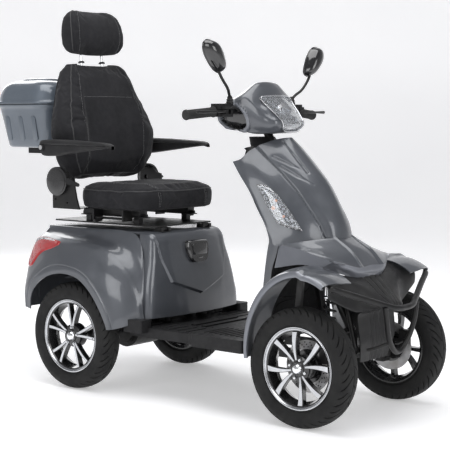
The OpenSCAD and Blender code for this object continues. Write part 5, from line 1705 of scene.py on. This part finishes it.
for side, suffix in ((-1, "right"), (1, "left")):
    rings = []
    for u, half, top, low in ((-20, 16, 22, -14), (-14, 22, 27, -22), (0, 25, 30, -32), (40, 26, 32, -34),
                              (100, 26, 31.5, -28),
                              (180, 26, 29, -18), (260, 26, 25, -8), (330, 25, 21, -0), (356, 22, 17, 1),
                              (370, 15, 12, 3), (375, 8, 9, 4)):
        cy = -285.5
        pts = [(0, top), (half * 0.62, top - 0.5), (half * 0.86, top - 5), (half, top - 13),
               (half * 0.93, (top + low) / 2), (half * 0.80, low + 6),
               (half * 0.6, low), (0, low - 0.5)]
        full = pts + [(-a, b) for a, b in pts[-2:0:-1]]
        rings.append([arm_point(u, cy + a, b) for a, b in spline(full, 72, closed=True)])
    rings = np.array(rings)
    dense = np.array([spline(rings[:, j], 90) for j in range(72)]).transpose(1, 0, 2)
    pts = dense.copy()
    # Parting line between the pad and the body
    zc = pts[..., 2] - (ARM[2] + np.interp(pts[..., 0] - ARM[0], [-20, 0, 180, 376], [10, 12, 11, 9]))
    c = dense.mean(1, keepdims=True)
    pts += (c - dense) / np.linalg.norm(c - dense, axis=2,
            keepdims=True) * (2.2 * np.exp(-(zc / 1.6) ** 2))[..., None]
    pts[..., 1] += np.sign(pts[..., 1] + 285.5) * np.where(zc > 1.5, 1.2, 0)
    v = pts.reshape(-1, 3)
    f = grid_faces(90, 72, wrap_cols=True) + [tuple(range(72))[::-1], tuple(range(89 * 72, 90 * 72))]
    nxt = np.roll(zc, -1, 1)
    upper = 0.25 * (zc[:-1] + zc[1:] + nxt[:-1] + nxt[1:]).reshape(-1) > 0
    p = Parts().add(v, f, list(np.where(upper, 1, 0)) + [0, 0])
    p.add(*revolve([(0.01, 0), (8, 0), (10, 2), (10, 8), (0.01, 8)], 6, arm_point(0, -309, 0), (0, -1, 0),
                   closed=False), 2)
    p.add(*revolve([(0.01, -2), (14, -2), (15, 1), (15, 4), (0.01, 4)], 36, arm_point(0, -309, 0),
                   (0, -1, 0), closed=False))
    p.add(*sweep([arm_point(0, -262, 0), arm_point(0, -230, 0), arm_point(0, -207, 0)], 8, 24), 2)
    p.add(*revolve([(8, 0), (19, 0), (21, 3), (21, 8), (17, 11), (8, 11)], 40, arm_point(0, -250, 0),
                   (0, -1, 0)))
    if side > 0:
        p.mirror()
    ob = p.build("armrest_" + suffix + "_pad", [black_plastic, vinyl, chrome], "arm_" + suffix,
                 "black_plastic")
    fix_normals(ob.data)
    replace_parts(ob, "armrest_" + suffix)

# Seat frame, recliner covers, levers
softened("seat_plate", frame_black, "seat_platform", 1.2)
softened("seat_frame", frame_black, "seat", 2.0)
softened("slide_lever", frame_black, "slide_release", 1.0)
softened("recline_lever", black_plastic, "recline_release", 2.0)
parts = Parts()
for s in (-1, 1):
    parts.add(*revolve([(0.01, 0), (50, 0), (56.5, -3), (57.8, -7), (57.8, -11), (57.8, -13.6), (54, -14.6),
                        (20, -14.9), (17, -14.0),
                    (15, -12.6), (0.01, -12.4)][::-1], 96, (-160, s * 261.5, 810), (0, -s, 0), closed=False))
    parts.add(*revolve([(0.01, 14), (48, 14), (50, 15.6), (47, 16.6), (20, 16.8), (0.01, 16.8)], 72,
                       (-160, s * 262, 810), (0, s, 0), closed=False))
ob = parts.build("recliner_covers", [gloss_black], "seat", "frame_black")
fix_normals(ob.data)


# ------------------------------------------------------------------ rear box

softened("box_carrier", frame_black, "backrest_assembly", 1.5)
BOX_MID, BOX_LEN, BOX_W = -480.0, 180.0, 200.0


def box_ring(z, inset, r, n=16):
    """The rear box's outline at one height."""
    return [(BOX_MID + a, b, z) for a, b in rounded_rect(BOX_LEN - inset, BOX_W - inset, max(8, r), n)]


def loft(rows, n=16, close_last=True, close_first=True):
    """A form through rows of (height, inset, corner radius) of the rear box."""
    rings = [box_ring(z, i, r, n) for z, i, r in rows]
    k = len(rings[0])
    v = [p for ring in rings for p in ring]
    f = grid_faces(len(rows), k, wrap_cols=True)
    if close_first:
        f.append(tuple(range(k))[::-1])
    if close_last:
        f.append(tuple(range((len(rows) - 1) * k, len(rows) * k)))
    return v, f


tub = [(938.5, 62, 60), (939, 54, 62), (942, 47, 66), (948, 43, 68), (980, 36, 74), (1020, 28.5, 78),
       (1060, 21, 82), (1096, 13.5, 86),
       (1106, 10, 88), (1110, 5, 90), (1113, 2.5, 92), (1118, 2, 92), (1120.5, 4, 92), (1120.5, 14, 84),
       (1116, 15.5, 84), (1060, 26, 76),
       (980, 41, 68), (946, 50, 60), (943.5, 60, 52), (943.5, 100, 40), (943.5, 150, 20)]
v, f = loft(tub, 18)
p = Parts().add(v, f, 0)
for s in (-1, 1):     # vertical ribs on the flanks
    for x in (-560, -480, -400):
        vv, ff = extrude([(x + a, b + 1020) for a, b in rounded_rect(14, 52, 12, 6)], 0, 5.0, "xz", 1.8)
        tilt = [(q[0], s * (BOX_W - 31.0 + q[1] + (q[2] - 1020) * 0.185), q[2]) for q in vv]
        p.add(tilt, ff if s > 0 else [q[::-1] for q in ff], 0)
tub_ob = p.build("box_tub", [box_paint], "backrest_assembly", "box_paint")
fix_normals(tub_ob.data)
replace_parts(tub_ob, "top_box")

lid = [(1122.3, 10, 88), (1122.3, 2.2, 94), (1124, 0.4, 95), (1131, 0, 95), (1134, 1.6, 94), (1136, 6, 91),
       (1140, 8.0, 90),
       (1160, 12, 88), (1180, 19, 84), (1194, 27, 80), (1205, 38, 74), (1213, 51, 68), (1219, 68, 60),
       (1223, 90, 50), (1226, 118, 36),
       (1227.5, 150, 20)]
v, f = loft(lid, 18)
p = Parts().add(v, f, 0)
crown = [(BOX_MID + a, b) for a, b in rounded_rect(96, 104, 52, 10)]
p.add(*extrude(crown, 1218, 1229.5, "xy", 5))
p.add(*revolve([(0.01, 0), (38, 0), (38, 4), (35, 8), (30, 9.5), (0.01, 10)], 72, (-566, 0, 1225.5),
               (0, 0, 1), closed=False))
p.add(*revolve([(0.01, 0), (9, 0), (9, 1.5), (4, 1.8), (0.01, 1.8)], 40, (-566, 0, 1235.0), (0, 0, 1),
               closed=False), 1)
lid_ob = p.build("box_cover", [box_paint, chrome], "lid", "box_paint")
fix_normals(lid_ob.data)
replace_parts(lid_ob, "box_lid")
# Rubber seal line between the tub and the lid, and latch at the back
ring = [(x, y, 1121.6) for x, y, _ in box_ring(0, 3.0, 92, 18)]
v, f = sweep(ring, 1.5, 8, closed=True)
Parts().add(v, f, 0).build("box_seal", [grip_rubber], "backrest_assembly", "box_paint")
p = Parts()
p.add(*extrude([(a, b + 1106) for a, b in rounded_rect(30, 14, 6)], -663.5, -655, "yz", 2))
p.add(*revolve([(0.01, 0), (8, 0), (8, 2.4), (0.01, 2.6)], 32, (-663.2, 0, 1104), (-1, 0, 0), closed=False),
      1)
p.build("box_latch", [black_plastic, chrome], "backrest_assembly", "box_paint")


# ------------------------------------------------------------------ kept CAD nodes

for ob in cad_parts.values():
    if not ob.hide_render:
        ob.data.materials.clear()
        ob.data.materials.append(frame_black)

# ------------------------------------------------------------------ floor, light, camera

# The photograph's camera: its place in metres, degrees down and round, and its lens in millimetres
CAMERA_AT, CAMERA_DOWN, CAMERA_TURN, CAMERA_LENS = (3.2832, -3.8087, 1.0675), 4.844, 39.311, 101.92
BACKDROP_TURN = math.radians(39.3)   # the floor's rear edge rises behind the scooter, seen from there

floor_paint = (Finish("studio_floor", (0.93, 0.93, 0.94), 0.75, Emission_Color=(1.0, 1.0, 1.0, 1.0),
                      Emission_Strength=0.34).mottle((0.90, 0.90, 0.915), 1.5).uneven(0.7, 0.82, 4.0)
               .bump(30.0, 0.03, 0.0005).done())
sweep_rows = []
for y, z in ((-14, 0), (3, 0), (6, 0), (7.4, 0.25), (8.2, 1.0), (8.5, 2.4), (8.6, 8.0)):
    sweep_rows.append([(x, y, z) for x in np.linspace(-16, 16, 9)])
g = np.array([[np.array(p) for p in r] for r in sweep_rows])
c, s = math.cos(BACKDROP_TURN), math.sin(BACKDROP_TURN)
FLOOR_ROWS, FLOOR_COLS = 70, 20
backdrop = patch(g, FLOOR_ROWS, FLOOR_COLS)
xy = backdrop[..., :2].copy()
backdrop[..., 0] = xy[..., 0] * c - xy[..., 1] * s
backdrop[..., 1] = xy[..., 0] * s + xy[..., 1] * c
backdrop[..., 2] = np.maximum(backdrop[..., 2], 0)
floor = make("floor", backdrop.reshape(-1, 3), grid_faces(FLOOR_ROWS, FLOOR_COLS), [floor_paint],
             scale_in=False)

world = bpy.data.worlds.new("studio")
bpy.context.scene.world = world
world.use_nodes = True
nt = world.node_tree
bg = nt.nodes["Background"]
coord = node(nt, "ShaderNodeTexCoord")
sep = node(nt, "ShaderNodeSeparateXYZ")
ramp = node(nt, "ShaderNodeValToRGB")
ramp.color_ramp.elements[0].position = 0.44
ramp.color_ramp.elements[0].color = (0.95, 0.95, 0.96, 1)
ramp.color_ramp.elements[1].position = 0.80
ramp.color_ramp.elements[1].color = (0.42, 0.42, 0.44, 1)
rise = node(nt, "ShaderNodeMath", operation="MULTIPLY_ADD")
rise.inputs[1].default_value = 0.5
rise.inputs[2].default_value = 0.5
nt.links.new(coord.outputs["Generated"], sep.inputs[0])
nt.links.new(sep.outputs["Z"], rise.inputs[0])
nt.links.new(rise.outputs[0], ramp.inputs["Fac"])
nt.links.new(ramp.outputs["Color"], bg.inputs["Color"])
bg.inputs["Strength"].default_value = 0.55


def softbox(name, where, at, size, power):
    """A rectangular lamp that faces a place."""
    light = bpy.data.lights.new(name, "AREA")
    light.shape = "RECTANGLE"
    light.size, light.size_y = size
    light.energy = power
    ob = bpy.data.objects.new(name, light)
    bpy.context.scene.collection.objects.link(ob)
    ob.location = where
    ob.rotation_euler = (Vector(at) - Vector(where)).to_track_quat("-Z", "Y").to_euler()


softbox("overhead", (0.2, -0.4, 4.2), (0, 0, 0.6), (3.6, 3.0), 105)
softbox("key", (0.4, -4.6, 2.6), (0, 0, 0.7), (2.6, 2.4), 58)
softbox("front", (4.6, -1.0, 2.2), (0.3, 0, 0.7), (2.2, 2.6), 58)
softbox("rear", (-3.8, 2.4, 2.8), (0, 0, 0.8), (2.6, 2.4), 50)

camera = bpy.data.objects.new("camera", bpy.data.cameras.new("camera"))
bpy.context.scene.collection.objects.link(camera)
camera.location = CAMERA_AT
camera.rotation_euler = (math.radians(90 - CAMERA_DOWN), 0, math.radians(CAMERA_TURN))
camera.data.lens = CAMERA_LENS
camera.data.sensor_width = 36
camera.data.clip_end = 60
bpy.context.scene.camera = camera
bpy.context.scene.view_settings.view_transform = "Standard"
